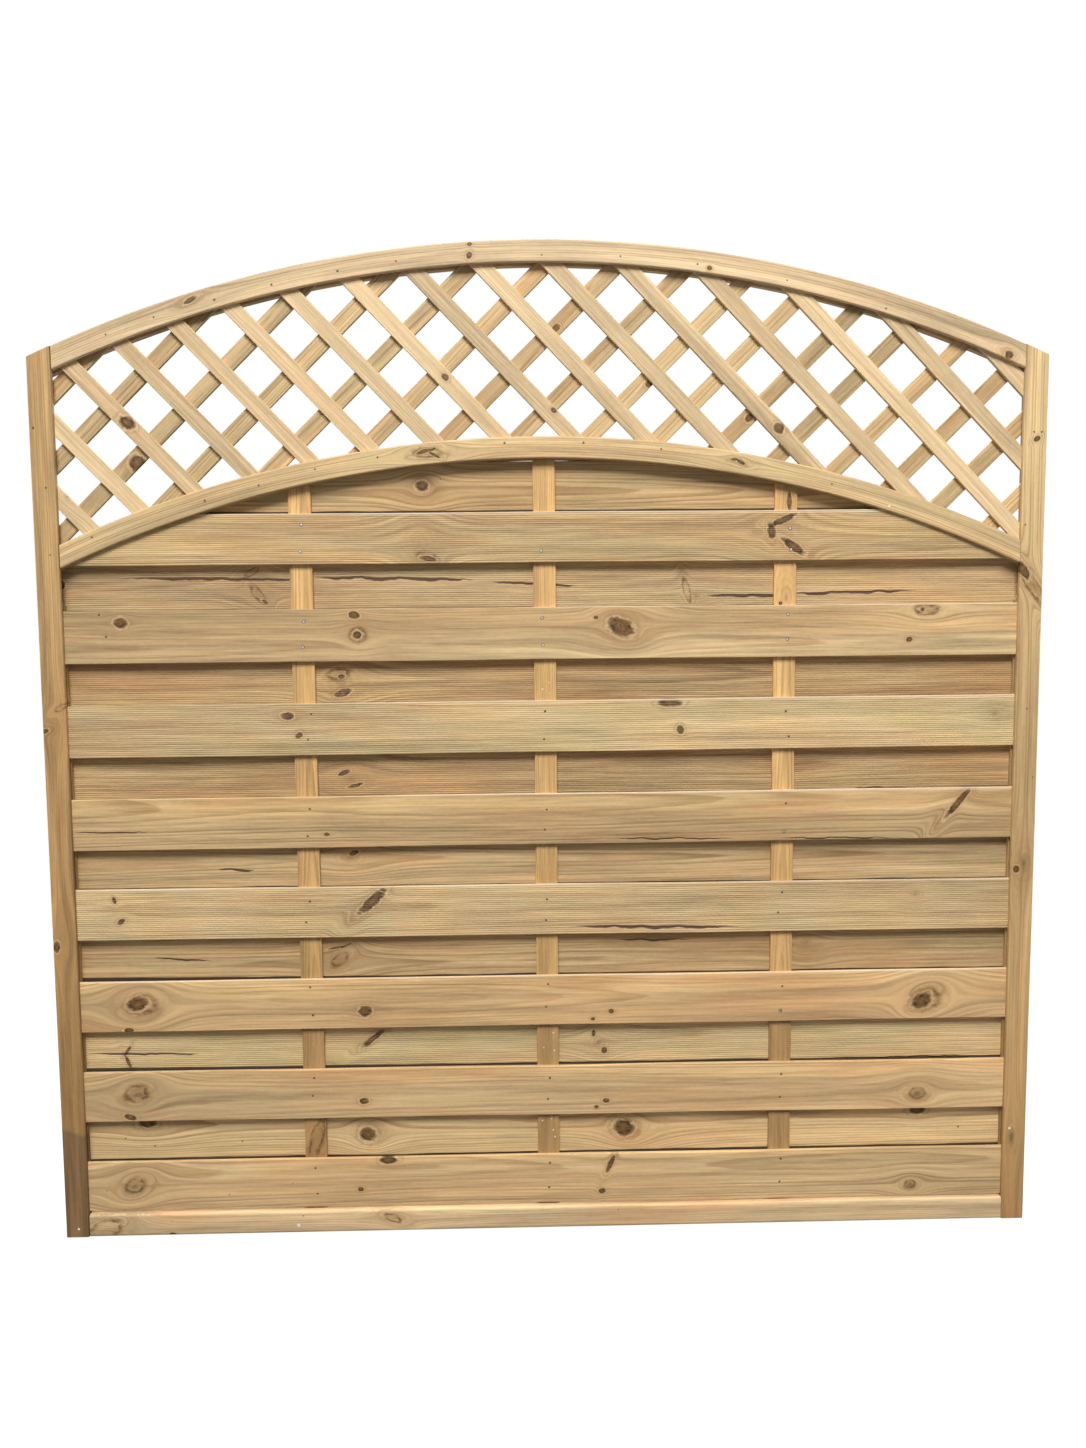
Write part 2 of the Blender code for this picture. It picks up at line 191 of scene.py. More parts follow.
class NailSettings(bpy.types.PropertyGroup):
    bright_head: length("Bright head", "Width of a galvanised nail head", 0.0050)
    brad_head: length("Brad head", "Width of a small brad's head", 0.0026)
    proud: length("Proud", "How far a head stands out of the wood", 0.0003)
    zinc: tint("Zinc", "Galvanised steel", (0.78, 0.79, 0.80))
    rust: tint("Rust", "Dull steel of a small brad", (0.10, 0.075, 0.06))


class StageSettings(bpy.types.PropertyGroup):
    camera_place: FloatVectorProperty(
        name="Camera place", description="Where the camera stands", default=(0.8415, -2.1425, 0.3487),
        subtype="XYZ", unit="LENGTH")
    pitch: angle("Pitch", "Camera pitch above the horizon", -5.299)
    yaw: angle("Yaw", "Camera turn to the right", 1.442)
    roll: angle("Roll", "Camera roll", -0.436)
    lens: FloatProperty(name="Lens", description="Focal length in millimetres", default=29.322)
    floor_size: length("Floor size", "Width of the floor", 40.0)
    sky: FloatProperty(name="Sky", description="Strength of the light from all round", default=0.22)
    key: power("Key", "Power of the high front light", 770.0)
    fill: power("Fill", "Power of the light behind", 400.0)
    side: power("Side", "Power of the light on either side", 160.0)


def colour_of(value):
    """Give a plain colour its fourth number, and leave a field as it is."""
    return value if isinstance(value, Field) else (*value, 1.0)


def feed(node, inputs):
    """Link fields to a node's sockets and set the plain values on the others."""
    for key, value in inputs.items():
        if isinstance(value, Field):
            value.tree.links.new(value.socket, node.inputs[key])
        else:
            node.inputs[key].default_value = value


class Field:
    """One output of a material's nodes, which can be used in sums."""

    def __init__(self, tree, socket=None):
        self.tree = tree
        self.socket = socket

    def node(self, kind, settings=None, inputs=None, output=0):
        """Add a node with its settings, feed its sockets and return one of its outputs."""
        made = self.tree.nodes.new(kind)
        for name, value in (settings or {}).items():
            setattr(made, name, value)
        feed(made, inputs or {})
        return Field(self.tree, made.outputs[output])

    def math(self, operation, *values):
        return self.node("ShaderNodeMath", {"operation": operation}, dict(enumerate(values)))

    def op(self, operation, *others):
        """Put this value, and any others after it, through a Math node."""
        return self.math(operation, self, *others)

    def vector_op(self, operation, *others, output=0):
        """Put this vector, and any others after it, through a Vector Math node."""
        inputs = dict(enumerate((self, *others)))
        return self.node("ShaderNodeVectorMath", {"operation": operation}, inputs, output)

    def __add__(self, other):
        return self.math("ADD", self, other)

    def __radd__(self, other):
        return self.math("ADD", other, self)

    def __sub__(self, other):
        return self.math("SUBTRACT", self, other)

    def __rsub__(self, other):
        return self.math("SUBTRACT", other, self)

    def __mul__(self, other):
        return self.math("MULTIPLY", self, other)

    def __rmul__(self, other):
        return self.math("MULTIPLY", other, self)

    def __truediv__(self, other):
        return self.math("DIVIDE", self, other)

    def __pow__(self, other):
        return self.math("POWER", self, other)

    def __neg__(self):
        return self.math("MULTIPLY", self, -1.0)

    def __abs__(self):
        return self.math("ABSOLUTE", self)

    def ramp(self, low, high):
        """Rise smoothly from 0 at low to 1 at high."""
        return self.node(
            "ShaderNodeMapRange", {"interpolation_type": "SMOOTHSTEP"},
            {"Value": self, "From Min": low, "From Max": high})

    def fall(self):
        """Fall smoothly from 1 as the value leaves 0."""
        square = self * self
        return (-square).op("EXPONENT")

    def vector(self, x, y, z):
        return self.node("ShaderNodeCombineXYZ", inputs={0: x, 1: y, 2: z})

    def outputs(self, *names):
        """Other outputs of this field's node."""
        return [Field(self.tree, self.socket.node.outputs[name]) for name in names]

    def parts(self):
        """Split a vector into its three numbers."""
        return self.node("ShaderNodeSeparateXYZ", inputs={0: self}).outputs(0, 1, 2)

    def stretch(self, factors, shift=(0, 0, 0)):
        """Multiply a vector by three numbers and add three more."""
        return self.vector_op("MULTIPLY_ADD", factors, shift)

    def noise(self, detail, roughness=0.5):
        """Smooth noise read at this vector."""
        return self.node("ShaderNodeTexNoise", inputs={
            "Vector": self, "Scale": 1.0, "Detail": detail, "Roughness": roughness})

    def waver(self, detail):
        """Smooth noise read along this one number."""
        return self.node(
            "ShaderNodeTexNoise", {"noise_dimensions": "1D"}, {"W": self, "Scale": 1.0, "Detail": detail})

    def mix(self, first, second):
        """Mix two colours by this factor."""
        return self.node(
            "ShaderNodeMix", {"data_type": "RGBA"}, {0: self, 6: colour_of(first), 7: colour_of(second)}, 2)

    def times(self, factor):
        """Scale a colour by a number."""
        return self.node("ShaderNodeVectorMath", {"operation": "SCALE"}, {0: self, "Scale": factor})


def metres(values):
    """Turn millimetres into metres."""
    return tuple(value / 1000.0 for value in values)


PLAIN = {
    "tone": 1.0, "gold": 0.0, "green": 0.3, "warm": 0.2, "bleach": 0.0, "pith": (0.012, 0.045), "taper": 0.004,
    "wave": 0.020, "ring": 1.0, "contrast": 0.85, "streak": 1.0, "haze": 0.30, "reed": 0.15, "edge_highlight": 0.0,
    "lean": 0.0, "band": None, "blush": (0.0, 0.0), "fade": None, "stain": None, "reeded": False,
    "drop": (0, 0), "shy": 0, "lap": None,
    "knots": (), "outlines": (), "ghosts": (), "cracks": (), "dots": (), "specks": (),
}


def board(seed, **looks):
    """Describe how one board was cut and what has happened to it since."""
    look = {**PLAIN, "seed": seed, **looks}
    look["drop"] = metres(look["drop"])
    look["shy"] /= 1000.0
    look["lap"] = look["lap"] and metres(look["lap"])
    for kind in ("knots", "outlines", "ghosts"):
        look[kind] = [(*metres(mark[:4]), math.radians(sum(mark[4:]))) for mark in look[kind]]
    for kind in ("cracks", "dots", "specks"):
        look[kind] = [metres(mark) for mark in look[kind]]
    return look


# What a board's look says:
# - tone is how bright it is, gold, green, warm and bleach how much it has of those colours, lean how
#   much brighter it gets per metre, and fade and stain how it browns towards its lower end, fade partly in
#   its own colour and partly as painted shade. haze is how grey the hearts of its ghosts are, and
#   edge_highlight how strong the painted highlight along its upper edge is.
# - pith is how far off, across and in depth, the tree's heart lies in metres, ring the width of its
#   rings against the usual, and wave and taper how they wander. contrast and streak are their strength.
# - band is where a board changes tone across, how softly, and the tone above and below, blush the red
#   there. reeded tells that the grooves are in front, and reed how dark the painted shade in them is.
# - Millimetres: drop is how far the slat's left and right end sit low, shy how much narrower it is, and
#   lap the height of the strip of painted shade at its left and right end, with the wedge at the left.
# - Millimetres: a knot, an outline or a ghost, which is a knot just under the face, is (along, across,
#   half length, half height) and a turn in degrees where it has one. A crack is (along, across) at its
#   two ends and its width. A dot or a speck is (along, across, radius).
FRONT_SLATS = (
    board(
        3.1, drop=(0, -3.5), shy=4, reeded=True, tone=0.82, gold=0.25, green=0.28, warm=0.46, contrast=0.55,
        pith=(-0.01, 0.05), haze=0.05,
        knots=((1330, 28, 22, 5.2, 24), (1348, -19, 22, 6.2, -34), (1308, 8, 6.5, 13, 8),
            (692, -37, 12, 4.2, -8)),
        outlines=((690, -34, 18, 8, -12),),
        ghosts=((676, -10, 26, 34), (1326, 4, 34, 32))),
    board(
        7.7, drop=(3.5, 0), tone=0.905, lean=0.21, contrast=0.7, green=0.45, warm=0.3, pith=(-0.02, 0.03),
        band=(-0.004, 0.01, 0.94, 1.08), blush=(0.3, 0.0), streak=1.4,
        knots=((142, 22, 10, 8), (1037, 9, 20, 12.5, -32), (558, 34, 8.5, 6.2), (563, -2, 7.2, 6),
            (992, 26, 3.5, 3), (1562, -18, 5, 4, 20)),
        outlines=((1592, 36, 20, 9), (564, -2, 15, 12.5)),
        ghosts=((1598, 33, 26, 12), (1050, 14, 34, 24, 20)),
        dots=((105, 37, 2.2), (116, -2, 2.2), (1585, 36, 4.2))),
    board(
        12.4, drop=(3.5, -3.5), reeded=True, tone=0.915, lean=0.17, green=0.5, warm=0.2, contrast=0.5,
        knots=((434, 23, 10.5, 6.2), (454, -12, 6, 4.5, 30), (1126, 41, 19, 7), (1145, -9, 5.5, 7, 15)),
        ghosts=((440, 24, 22, 10), (1723, 16, 14, 10))),
    board(
        18.9, drop=(3, -2.5), tone=0.87, lean=-0.05, gold=0.25, green=0.12, warm=0.6,
        band=(0.01, 0.01, 1.04, 0.92), pith=(0.03, 0.04),
        knots=((1659, 21, 31, 5.5, 50), (500, -24, 5, 3)),
        ghosts=((1622, -18, 22, 12, 45),),
        cracks=((40, -16, 180, -16, 1.6), (1020, -38, 1250, -41, 1.8), (1330, -41, 1540, -43, 1.8))),
    board(
        23.3, drop=(-1, -1), reeded=True, tone=0.95, lean=-0.08, green=0.55, warm=0.15, contrast=0.55,
        knots=((580, 21, 28, 8, 42), (111, 29, 3.5, 6, 20), (122, -11, 7, 4, 35)),
        ghosts=((1583, 21, 14, 12), (556, 0, 18, 8, 45)),
        cracks=((945, -32, 1262, -37, 4.2),)),
    board(
        29.6, drop=(1.5, 0), tone=1.03, lean=0.06, gold=0.25, green=0.04, warm=0.85, pith=(0.004, 0.022),
        taper=0.008, band=(0.02, 0.008, 1.08, 0.94), blush=(0.1, 0.2), streak=1.4,
        knots=((146, 5, 16, 11.2, 12), (1600, -12, 16, 11.5, 28), (562, -16, 10, 8.4), (128, -45, 8, 4),
            (1018, -23, 4.5, 4), (984, -37, 4, 3)),
        outlines=((152, 2, 26, 17.5, 8), (1606, -10, 25, 18, 20)),
        ghosts=((150, 0, 34, 26), (1618, -8, 36, 26))),
    board(
        34.2, drop=(2.5, 4), tone=1.06, lean=0.2, gold=0.1, green=0.1, warm=0.62,
        band=(0.016, 0.008, 1.07, 0.92), blush=(0.2, 0.05), streak=1.4, pith=(-0.012, 0.034), haze=0.85,
        knots=((1008, -25, 6, 4), (124, -41, 10, 5, -20), (556, -18, 8.5, 5.6), (990, -37, 3.5, 3)),
        outlines=((140, 3, 12.5, 9, 15), (137, 3, 20, 14.5, 10), (1595, -20, 13, 10)),
        ghosts=((140, 2, 28, 20, 15), (1595, -21, 28, 20))),
    board(
        40.8, drop=(4.5, 5.5), tone=1.05, lean=-0.03, gold=0.05, green=0.1, warm=0.58,
        band=(0.024, 0.008, 1.08, 0.94), blush=(0.2, 0.05), streak=1.4, pith=(0.016, 0.04), haze=0.8,
        knots=((1016, 22, 17, 4.2, 66), (1000, -31, 6, 4.5), (600, 37, 14, 6.2), (547, -19, 5, 4)),
        outlines=((130, -3, 11, 8, 20), (128, -4, 18, 13.5, 20), (1586, -30, 9, 7)),
        ghosts=((128, -4, 27, 20, 20), (1586, -31, 22, 14)),
        dots=((75, -12, 1.2), (420, -4, 1.2), (302, -24, 1.4), (1424, 43, 1.6))))
BACK_SLATS = (
    board(
        45.5, shy=-2, lap=(8.1, 11.3, 0), tone=0.92, gold=0.25, green=0.4, warm=0.25, pith=(-0.004, 0.028),
        contrast=0.9,
        knots=((682, 6, 9.5, 8),),
        ghosts=((684, 4, 22, 20),),
        dots=((715, 18, 1.5),)),
    board(
        51.2, reed=0.13, lap=(6, 9.2, 0), reeded=True, tone=0.79, lean=0.18, green=0.34, warm=0.42,
        contrast=0.6,
        knots=((36, 6, 5, 7), (397, -27, 6, 2.6, -40)),
        outlines=((374, 26, 13, 5, 32), (384, -12, 19, 7.5, -52), (1158, -10, 21, 5.2, -75)),
        ghosts=((382, -6, 24, 24), (1178, -22, 20, 10)),
        cracks=((140, 17, 500, 11, 3.6), (480, 16, 780, 10, 4.2), (800, 6, 960, -2, 3),
            (1190, -22, 1350, -22, 4), (1340, -19, 1580, -15, 3.6))),
    board(
        57.7, reed=0.13, lap=(5, 11.4, 0), reeded=True, tone=0.75, gold=0.35, green=0.06, warm=0.85,
        contrast=0.8,
        knots=((530, 8, 5, 3.5), (533, -22, 13, 5.5, 16)),
        outlines=((526, 12, 18, 9, 8),),
        ghosts=((530, -4, 34, 26),)),
    board(
        63.1, reed=0.13, lap=(5, 10.6, 0), reeded=True, tone=0.74, gold=0.3, green=0.1, warm=0.8,
        contrast=0.8,
        knots=((531, 2, 10, 4, 20), (551, -22, 12, 3, 15)),
        ghosts=((545, -10, 30, 22), (1320, 20, 40, 14)),
        cracks=((1470, -36, 1640, -41, 2.6),)),
    board(
        69.6, lap=(9.5, 9.5, 0), tone=0.79, gold=0.05, green=0.2, warm=0.55, streak=1.6,
        band=(-0.006, 0.014, 0.97, 1.06), pith=(0.01, 0.02), taper=0.01,
        knots=((546, 23, 8, 4, 20),),
        ghosts=((540, 14, 30, 16),),
        cracks=((296, -5, 364, -9, 3.2),)),
    board(
        74.3, lap=(8.8, 8.2, 3.5), tone=0.8, gold=0.15, green=0.16, warm=0.7, pith=(-0.015, 0.03),
        band=(-0.01, 0.014, 0.96, 1.05),
        knots=((508, 15, 14, 1.6, 10), (528, 19, 10, 1.4, 24)),
        outlines=((516, -7, 16.5, 8.2, 40),),
        ghosts=((516, -6, 28, 20), (1385, 12, 20, 20)),
        cracks=((168, 1, 278, -6, 2.2), (1030, 23, 1165, 21, 2.6))),
    board(
        80.9, reed=0.13, lap=(8.2, 6.2, 2.2), reeded=True, tone=1.0, green=0.6, warm=0.1, contrast=0.55,
        knots=((119, -26, 12, 3, -68), (118, -6, 10, 2.5, 55), (574, 11, 24, 5.2, 38), (986, 14, 3, 6),
            (1006, -19, 5, 5.5)),
        ghosts=((996, -4, 20, 22),),
        cracks=((42, -10, 256, -13, 2.4), (1500, -42, 1720, -42, 2.4))),
    board(
        86.4, drop=(2.6, 3.2), lap=(4, 3.4, 0), tone=1.1, lean=0.15, green=0.14, warm=0.34, pith=(0.02, 0.03),
        knots=((149, 25, 14, 8), (560, -4, 13.5, 12.2, -15), (1043, 0, 17.2, 14.5, -20), (1601, 24, 14, 8)),
        ghosts=((155, 18, 36, 16), (1060, 2, 36, 24), (572, 0, 26, 20)),
        dots=((108, -4, 1.8), (162, -20, 1.6), (325, -14, 1.6), (1681, -11, 2))))
LEFT_STILE = board(
    90.2, tone=0.87, gold=0.5, green=0.16, warm=0.6, pith=(0.05, 0.012), ring=0.8, contrast=0.8, streak=1.8,
    wave=0.008, fade=(-0.8, 0.78, 0.96, 0.34), stain=(-0.592, -0.604, 0.8),
    knots=((147, -19, 8, 4, 70), (-247, -14, 9, 6)),
    outlines=((190, 14, 12, 4.5, 60),),
    ghosts=((150, -4, 30, 14), (-235, -6, 30, 16)),
    dots=((680, -13, 2.6), (577, 4, 2), (460, 6, 1.4)),
    specks=((-784, 3, 2.6),))
RIGHT_STILE = board(
    95.8, tone=1.06, gold=0.05, green=0.32, warm=0.34, pith=(-0.04, 0.02), ring=0.8, contrast=0.75,
    streak=1.6, wave=0.008, fade=(-0.8, 0.78, 0.9, -0.02), haze=0.8,
    knots=((655, 3, 6, 4, 60), (422, -15, 17, 6.6, -34), (-126, -12, 6, 5)),
    outlines=((396, 1, 41, 9.5, -34),),
    ghosts=((400, 0, 46, 12, -34), (-115, 2, 34, 18), (-640, -6, 30, 12)),
    dots=((667, -3, 2.2), (667, 11, 2.2), (503, -14, 1.6), (171, -1, 1.6), (45, 14, 1.6)),
    specks=((-622, -10, 3),))
TOP_RAIL = board(
    101.3, tone=0.94, bleach=0.28, streak=1.5, green=0.26, warm=0.14, pith=(0.06, 0.016), ring=0.85,
    contrast=0.85, wave=0.006, band=(-0.004, 0.003, 0.97, 1.07),
    knots=((-619, 6, 11, 4, 12), (-128, -5, 6, 4.5, 60), (295, -10, 4, 3.5), (854, -11, 7, 6),
        (-126, 14, 4, 3)),
    ghosts=((-610, 4, 34, 12), (850, -8, 22, 12)),
    dots=((-778, -1, 1.8), (-689, -2, 1.8), (-579, -5, 2.4), (-476, -5, 2.2), (-359, -5, 2.2),
        (-256, -3, 2), (-1, -8, 1.8), (137, -6, 2), (273, -6, 2.2), (434, -7, 1.8), (617, -11, 2.2)))
LOWER_RAIL = board(
    107.9, tone=0.92, streak=1.5, green=0.32, warm=0.3, pith=(-0.06, 0.014), ring=0.85, contrast=0.7,
    wave=0.006,
    knots=((-212, 4, 12, 2.8, 12), (-194, -4, 11, 2.2, -34), (-196, 6, 6, 2, 20), (352, 2, 8, 3.2, -20),
        (340, 5, 7, 2.2, 10)),
    outlines=((-205, 1, 24, 7.5, -6),),
    ghosts=((-204, 0, 40, 14), (350, 1, 30, 11)),
    dots=((-817, 7, 2), (-608, -2, 2.4), (-509, -2, 2), (-406, 3, 2.2), (-294, 4, 2), (-69, 8, 2.2),
        (70, 8, 2.2), (208, 6, 2), (520, -2, 1.8)),
    specks=((631, -11, 2.8),))
BOTTOM_RAIL = board(
    113.4, tone=1.05, bleach=0.15, streak=1.8, green=0.0, warm=1.0, haze=0.15, pith=(0.02, -0.03), ring=0.9,
    contrast=0.7, band=(0.011, 0.005, 1.08, 0.96),
    knots=((196, -19, 6, 3),),
    outlines=((607, 4, 15, 6.5, -24), (74, -8, 22, 10, 30), (70, -12, 34, 18, 30)),
    ghosts=((85, -12, 40, 14), (612, 4, 30, 12)),
    dots=((440, 12, 1.6), (1030, 12, 1.4), (196, 6, 1.2)),
    specks=((431, -6, 4),))
BATTENS = {
    "batten_left": board(
        118.8, tone=0.92, gold=0.85, green=0.05, warm=0.3, pith=(0.006, 0.018), ring=0.8, contrast=0.75,
        streak=1.5, fade=(-0.75, 0.4, 0.45, 0.08), stain=(-0.28, -0.38, 0.38), taper=0.02,
        outlines=((-628, 2, 34, 11, 16), (-606, 4, 18, 5, 40)),
        ghosts=((-628, 4, 46, 24),)),
    "batten_centre": board(
        124.1, tone=0.93, gold=0.85, green=0.05, warm=0.25, pith=(-0.03, 0.01), ring=0.7, contrast=0.55,
        streak=1.3, fade=(-0.75, 0.4, 0.36, 0.06), stain=(-0.28, -0.38, 0.46), taper=0.012,
        specks=((-414, 12, 1.6), (-429, 10, 1.4), (-457, -8, 1.3), (-463, 12, 1.7), (-598, -11, 1.4),
            (-595, 6, 1.5), (-617, 9, 1.6), (-630, 12, 1.8), (226, 6, 1.3), (214, -5, 1.4), (206, 8, 1.2))),
    "batten_right": board(
        129.7, tone=0.92, gold=0.85, green=0.05, warm=0.3, pith=(0.002, 0.014), ring=0.8, contrast=0.6,
        streak=1.3, fade=(-0.75, 0.4, 0.42, 0.06), stain=(-0.28, -0.38, 0.4), taper=0.02,
        knots=((548, 6, 16, 4), (366, -8, 4, 3)),
        ghosts=((376, 2, 34, 18),))}
FRONT_LATHS = board(
    140.0, tone=1.03, bleach=0.22, green=0.14, warm=0.3, ring=0.9, contrast=0.62, wave=0.01,
    knots=((-1571, 536, 13, 10, 20), (-1230, 986, 6, 5), (-1054, 1080, 5, 4), (-974, 1231, 6, 4.5),
        (-797, 1314, 7, 5), (-747, 1341, 9, 8)),
    ghosts=((-1558, 368, 14, 9), (-858, 1507, 30, 10), (-485, 1634, 40, 10)))
BACK_LATHS = board(
    170.0, tone=0.88, green=0.16, warm=0.46, ring=1.1, contrast=0.8, wave=0.016, taper=0.01,
    knots=((-1514, 496, 12, 11), (-1152, 1185, 7, 5), (-967, 1233, 6, 4.5), (-798, 1318, 8, 6)))

# Where each lath's middle line crosses, measured square to the lath from the point below the left end
FRONT_LATH_LINES = metres((
    354.7, 443, 534.8, 624.8, 716, 805.1, 894.8, 984.3, 1073.9, 1163.6, 1252.2, 1341.3, 1432.1, 1523.2,
    1615.9, 1704.7))
BACK_LATH_LINES = metres((
    -1700, -1613, -1519.7, -1427.8, -1335.6, -1244.6, -1154.7, -1064.2, -975.2, -885.7, -798.5, -710.5,
    -620.9, -528.4, -442.7, -350))

# Nails through the front slats, by slat, as (x, height from the slat's middle) in millimetres
BRIGHT_NAILS = {
    1: ((468, 24), (465, -23), (894, -24), (1342, 13), (1344, -25)),
    2: ((468, 22), (465, -23), (895, 26), (896, -23), (1340, 29), (1339, -16)),
    4: ((1337, -29),),
    6: ((1334, -27),)}
BRADS = {
    3: ((477, 26), (470, -20), (899, 27), (897, -24), (1338, 23), (1344, -23)),
    4: ((470, 23), (465, -27), (901, 17), (897, -20), (1340, 23)),
    5: ((466, 22), (458, -17), (900, 20), (898, -19), (1335, 27), (1328, -11)),
    6: ((462, 31), (466, -22), (901, 30), (897, -13), (1337, 19)),
    7: ((465, 28), (462, -6), (903, 20), (899, -20), (1337, 20), (1335, -24)),
    8: ((463, 24), (466, -26), (902, 26), (900, -22), (1338, 25), (1336, -20))}


def distance(vector):
    """Length of a vector."""
    return vector.vector_op("LENGTH", output="Value")


def oval(place, spot, grow=(1.0, 1.0)):
    """Distance from the middle of an oval spot, where 1 is its edge."""
    along, across, half_length, half_height, turn = spot
    return distance(place.node(
        "ShaderNodeMapping", {"vector_type": "TEXTURE"},
        {"Vector": place, "Location": (along, across, 0.0), "Rotation": (0.0, 0.0, turn),
         "Scale": (half_length * grow[0], half_height * grow[1], 1.0)}))


def fold(operation, fields):
    """Take many values together with one Math operation."""
    return functools.reduce(lambda first, second: first.op(operation, second), fields)


class Timber:
    """The material of one board as it is worked out: its grain, its colour and the marks laid over it."""

    steps = (
        "band", "lean", "bleach", "fade", "stain", "tone", "ghosts", "outlines", "knots", "cracks", "edge_highlight",
        "lap", "dots", "specks")

    def __init__(self, directions, look, line):
        self.look = look
        self.pine = bpy.context.scene.fence_pine
        self.along, self.across, self.depth = directions
        self.face = self.along.vector(self.along, self.across, 0.0)
        place = self.along.vector(*directions)
        self.straight = self.across
        for spot in (*look["knots"], *look["ghosts"], *look["outlines"]):
            pull = oval(self.face, spot, KNOT_REACH).fall()
            self.straight = self.straight - (self.across - spot[1]) * pull * KNOT_PULL
        bent = self.along.vector(self.along, self.straight, self.depth)
        self.slow = self.noise(bent, 1.3, 9.0, detail=1.0) - 0.5
        self.fine = self.noise(bent, 9.0, 90.0) - 0.5
        self.patch = self.noise(bent, 2.6, 15.0, shift=9.0)
        self.grit = self.noise(place, 110.0, 190.0) - 0.5
        self.lump = self.noise(place, 75.0, 130.0) - 0.5
        fibre = self.noise(bent, 10.0, 240.0, 3.0, 0.62) - 0.5
        streak = self.noise(bent, 2.2, 55.0, shift=5.0) - 0.5
        tone = self.wood(line)
        self.bright = fibre * 0.80 + streak * 0.74 * look["streak"] + self.slow * 0.30 + self.grit * 0.16 + tone
        self.relief = self.noise(place, 10.0, 240.0) * FURROW_DEPTH + self.grit * GRIT_DEPTH
        self.rough = self.pine.roughness + self.late * -0.06 + fibre * 0.14
        for step in self.steps:
            if look[step]:
                getattr(self, step)()

    def noise(self, place, along, across, detail=2.0, roughness=0.5, shift=0.0):
        """Noise with so many waves per metre along and across, in a part of the pattern of its own."""
        seed = self.look["seed"]
        moved = (seed * 1.7 + shift, seed * 0.9, seed * 1.3)
        return place.stretch((along, across, across), moved).noise(detail, roughness)

    def wood(self, line):
        """Lay the rings of clean pine and return its plain tone, which differs from lath to lath."""
        look, pine = self.look, self.pine
        pith, level, warmth, tone = look["pith"], self.straight, look["warm"], look["tone"]
        if line is not None:
            first, second, third = line.node(
                "ShaderNodeTexWhiteNoise", {"noise_dimensions": "1D"}, {"W": line * 13.7}, "Color").parts()
            pith = (first * 0.06 - 0.03, second * 0.030 + 0.006)
            level = self.straight - line
            warmth = second * look["warm"] * 2.0
            tone = third * 0.26 + (look["tone"] - 0.13)
        self.late = self.rings(level - pith[0], self.depth - pith[1])
        early = Vector(pine.early).lerp(Vector(pine.gold), look["gold"])
        self.colour = (self.late * look["contrast"]).mix(early, pine.late)
        self.lay(self.patch.ramp(0.44, 0.68) * look["green"], pine.green)
        self.lay((1.0 - self.patch.ramp(0.32, 0.58)) * warmth, pine.warm)
        return tone

    def rings(self, off_across, off_depth):
        """Late wood of the growth rings where a flat face cuts through them."""
        radius = (off_across * off_across + off_depth * off_depth) ** 0.5
        bent = radius + self.slow * self.look["wave"] + self.fine * 0.0014 + self.along * self.look["taper"]
        rings = bent / (self.pine.ring_width * self.look["ring"])
        turn = rings.op("FRACT")
        each = (rings * 0.61 + 3.0).waver(0.0)
        return turn.ramp(0.25, 0.88) * (1.0 - turn.ramp(0.92, 1.0)) * (each.ramp(0.30, 0.70) * 0.85 + 0.15)

    def lay(self, amount, colour):
        """Mix some more of a colour into the board's."""
        self.colour = amount.mix(self.colour, colour)

    def nearest(self, kind):
        """Distance to the nearest of the board's oval marks of one kind, where 1 is a mark's edge."""
        return fold("MINIMUM", [oval(self.face, spot) for spot in self.look[kind]])

    def nearest_dot(self, kind):
        """Distance to the nearest of the board's round marks of one kind, where 1 is a mark's edge."""
        return fold("MINIMUM", [
            self.face.vector_op("DISTANCE", (along, across, 0.0), output="Value") / radius
            for along, across, radius in self.look[kind]])

    def band(self):
        place, soft, above, below = self.look["band"]
        upper = (self.straight + self.slow * 0.014).ramp(place - soft, place + soft)
        self.bright = self.bright * (upper * (above - below) + below)
        self.lay((1.0 - upper) * 0.22, self.pine.dull)
        above, below = self.look["blush"]
        self.lay(upper * (above - below) + below, self.pine.warm)

    def lean(self):
        self.bright = self.bright * ((self.along - MIDDLE_X) * self.look["lean"] + 1.0)

    def bleach(self):
        self.lay((self.patch * 0.6 + 0.7) * self.look["bleach"], self.pine.pale)

    def fade(self):
        # Browner and darker towards the lower end, partly the wood's own colour and partly painted shade
        bottom, top, foot, head = self.look["fade"]
        height = self.along + self.slow * 0.5
        ends = {"Value": height, "From Min": bottom, "From Max": top, "To Min": foot, "To Max": head}
        self.lay(height.node("ShaderNodeMapRange", inputs=ends), self.pine.low_brown_and_shade)

    def stain(self):
        start, end, strength = self.look["stain"]
        soaked = 1.0 - (self.along + self.across * 0.35 + self.slow * 0.03).ramp(end, start)
        self.lay(soaked * strength, self.pine.stain)

    def tone(self):
        self.colour = self.colour.times(self.bright)

    def ghosts(self):
        haze = self.look["haze"]
        gap = self.nearest("ghosts") + self.fine * 0.7 + self.grit * 0.25
        waves = (gap * 15.0).op("SINE") * 0.5 + 0.5
        self.lay((gap * 0.9).fall() * (waves * waves * 0.34 + 0.12) * (haze + 0.7), self.pine.halo)
        self.lay((gap * 2.6).fall() * haze, self.pine.haze)

    def outlines(self):
        gap = self.nearest("outlines") + self.lump * 0.8 + self.fine * 0.5 + self.grit * 0.4
        self.lay((gap * 0.8).fall() * 0.22, self.pine.halo)
        self.lay(((gap - 1.0) * 4.2).fall() * (self.lump.ramp(-0.18, 0.14) * 0.62 + 0.26), self.pine.knot)

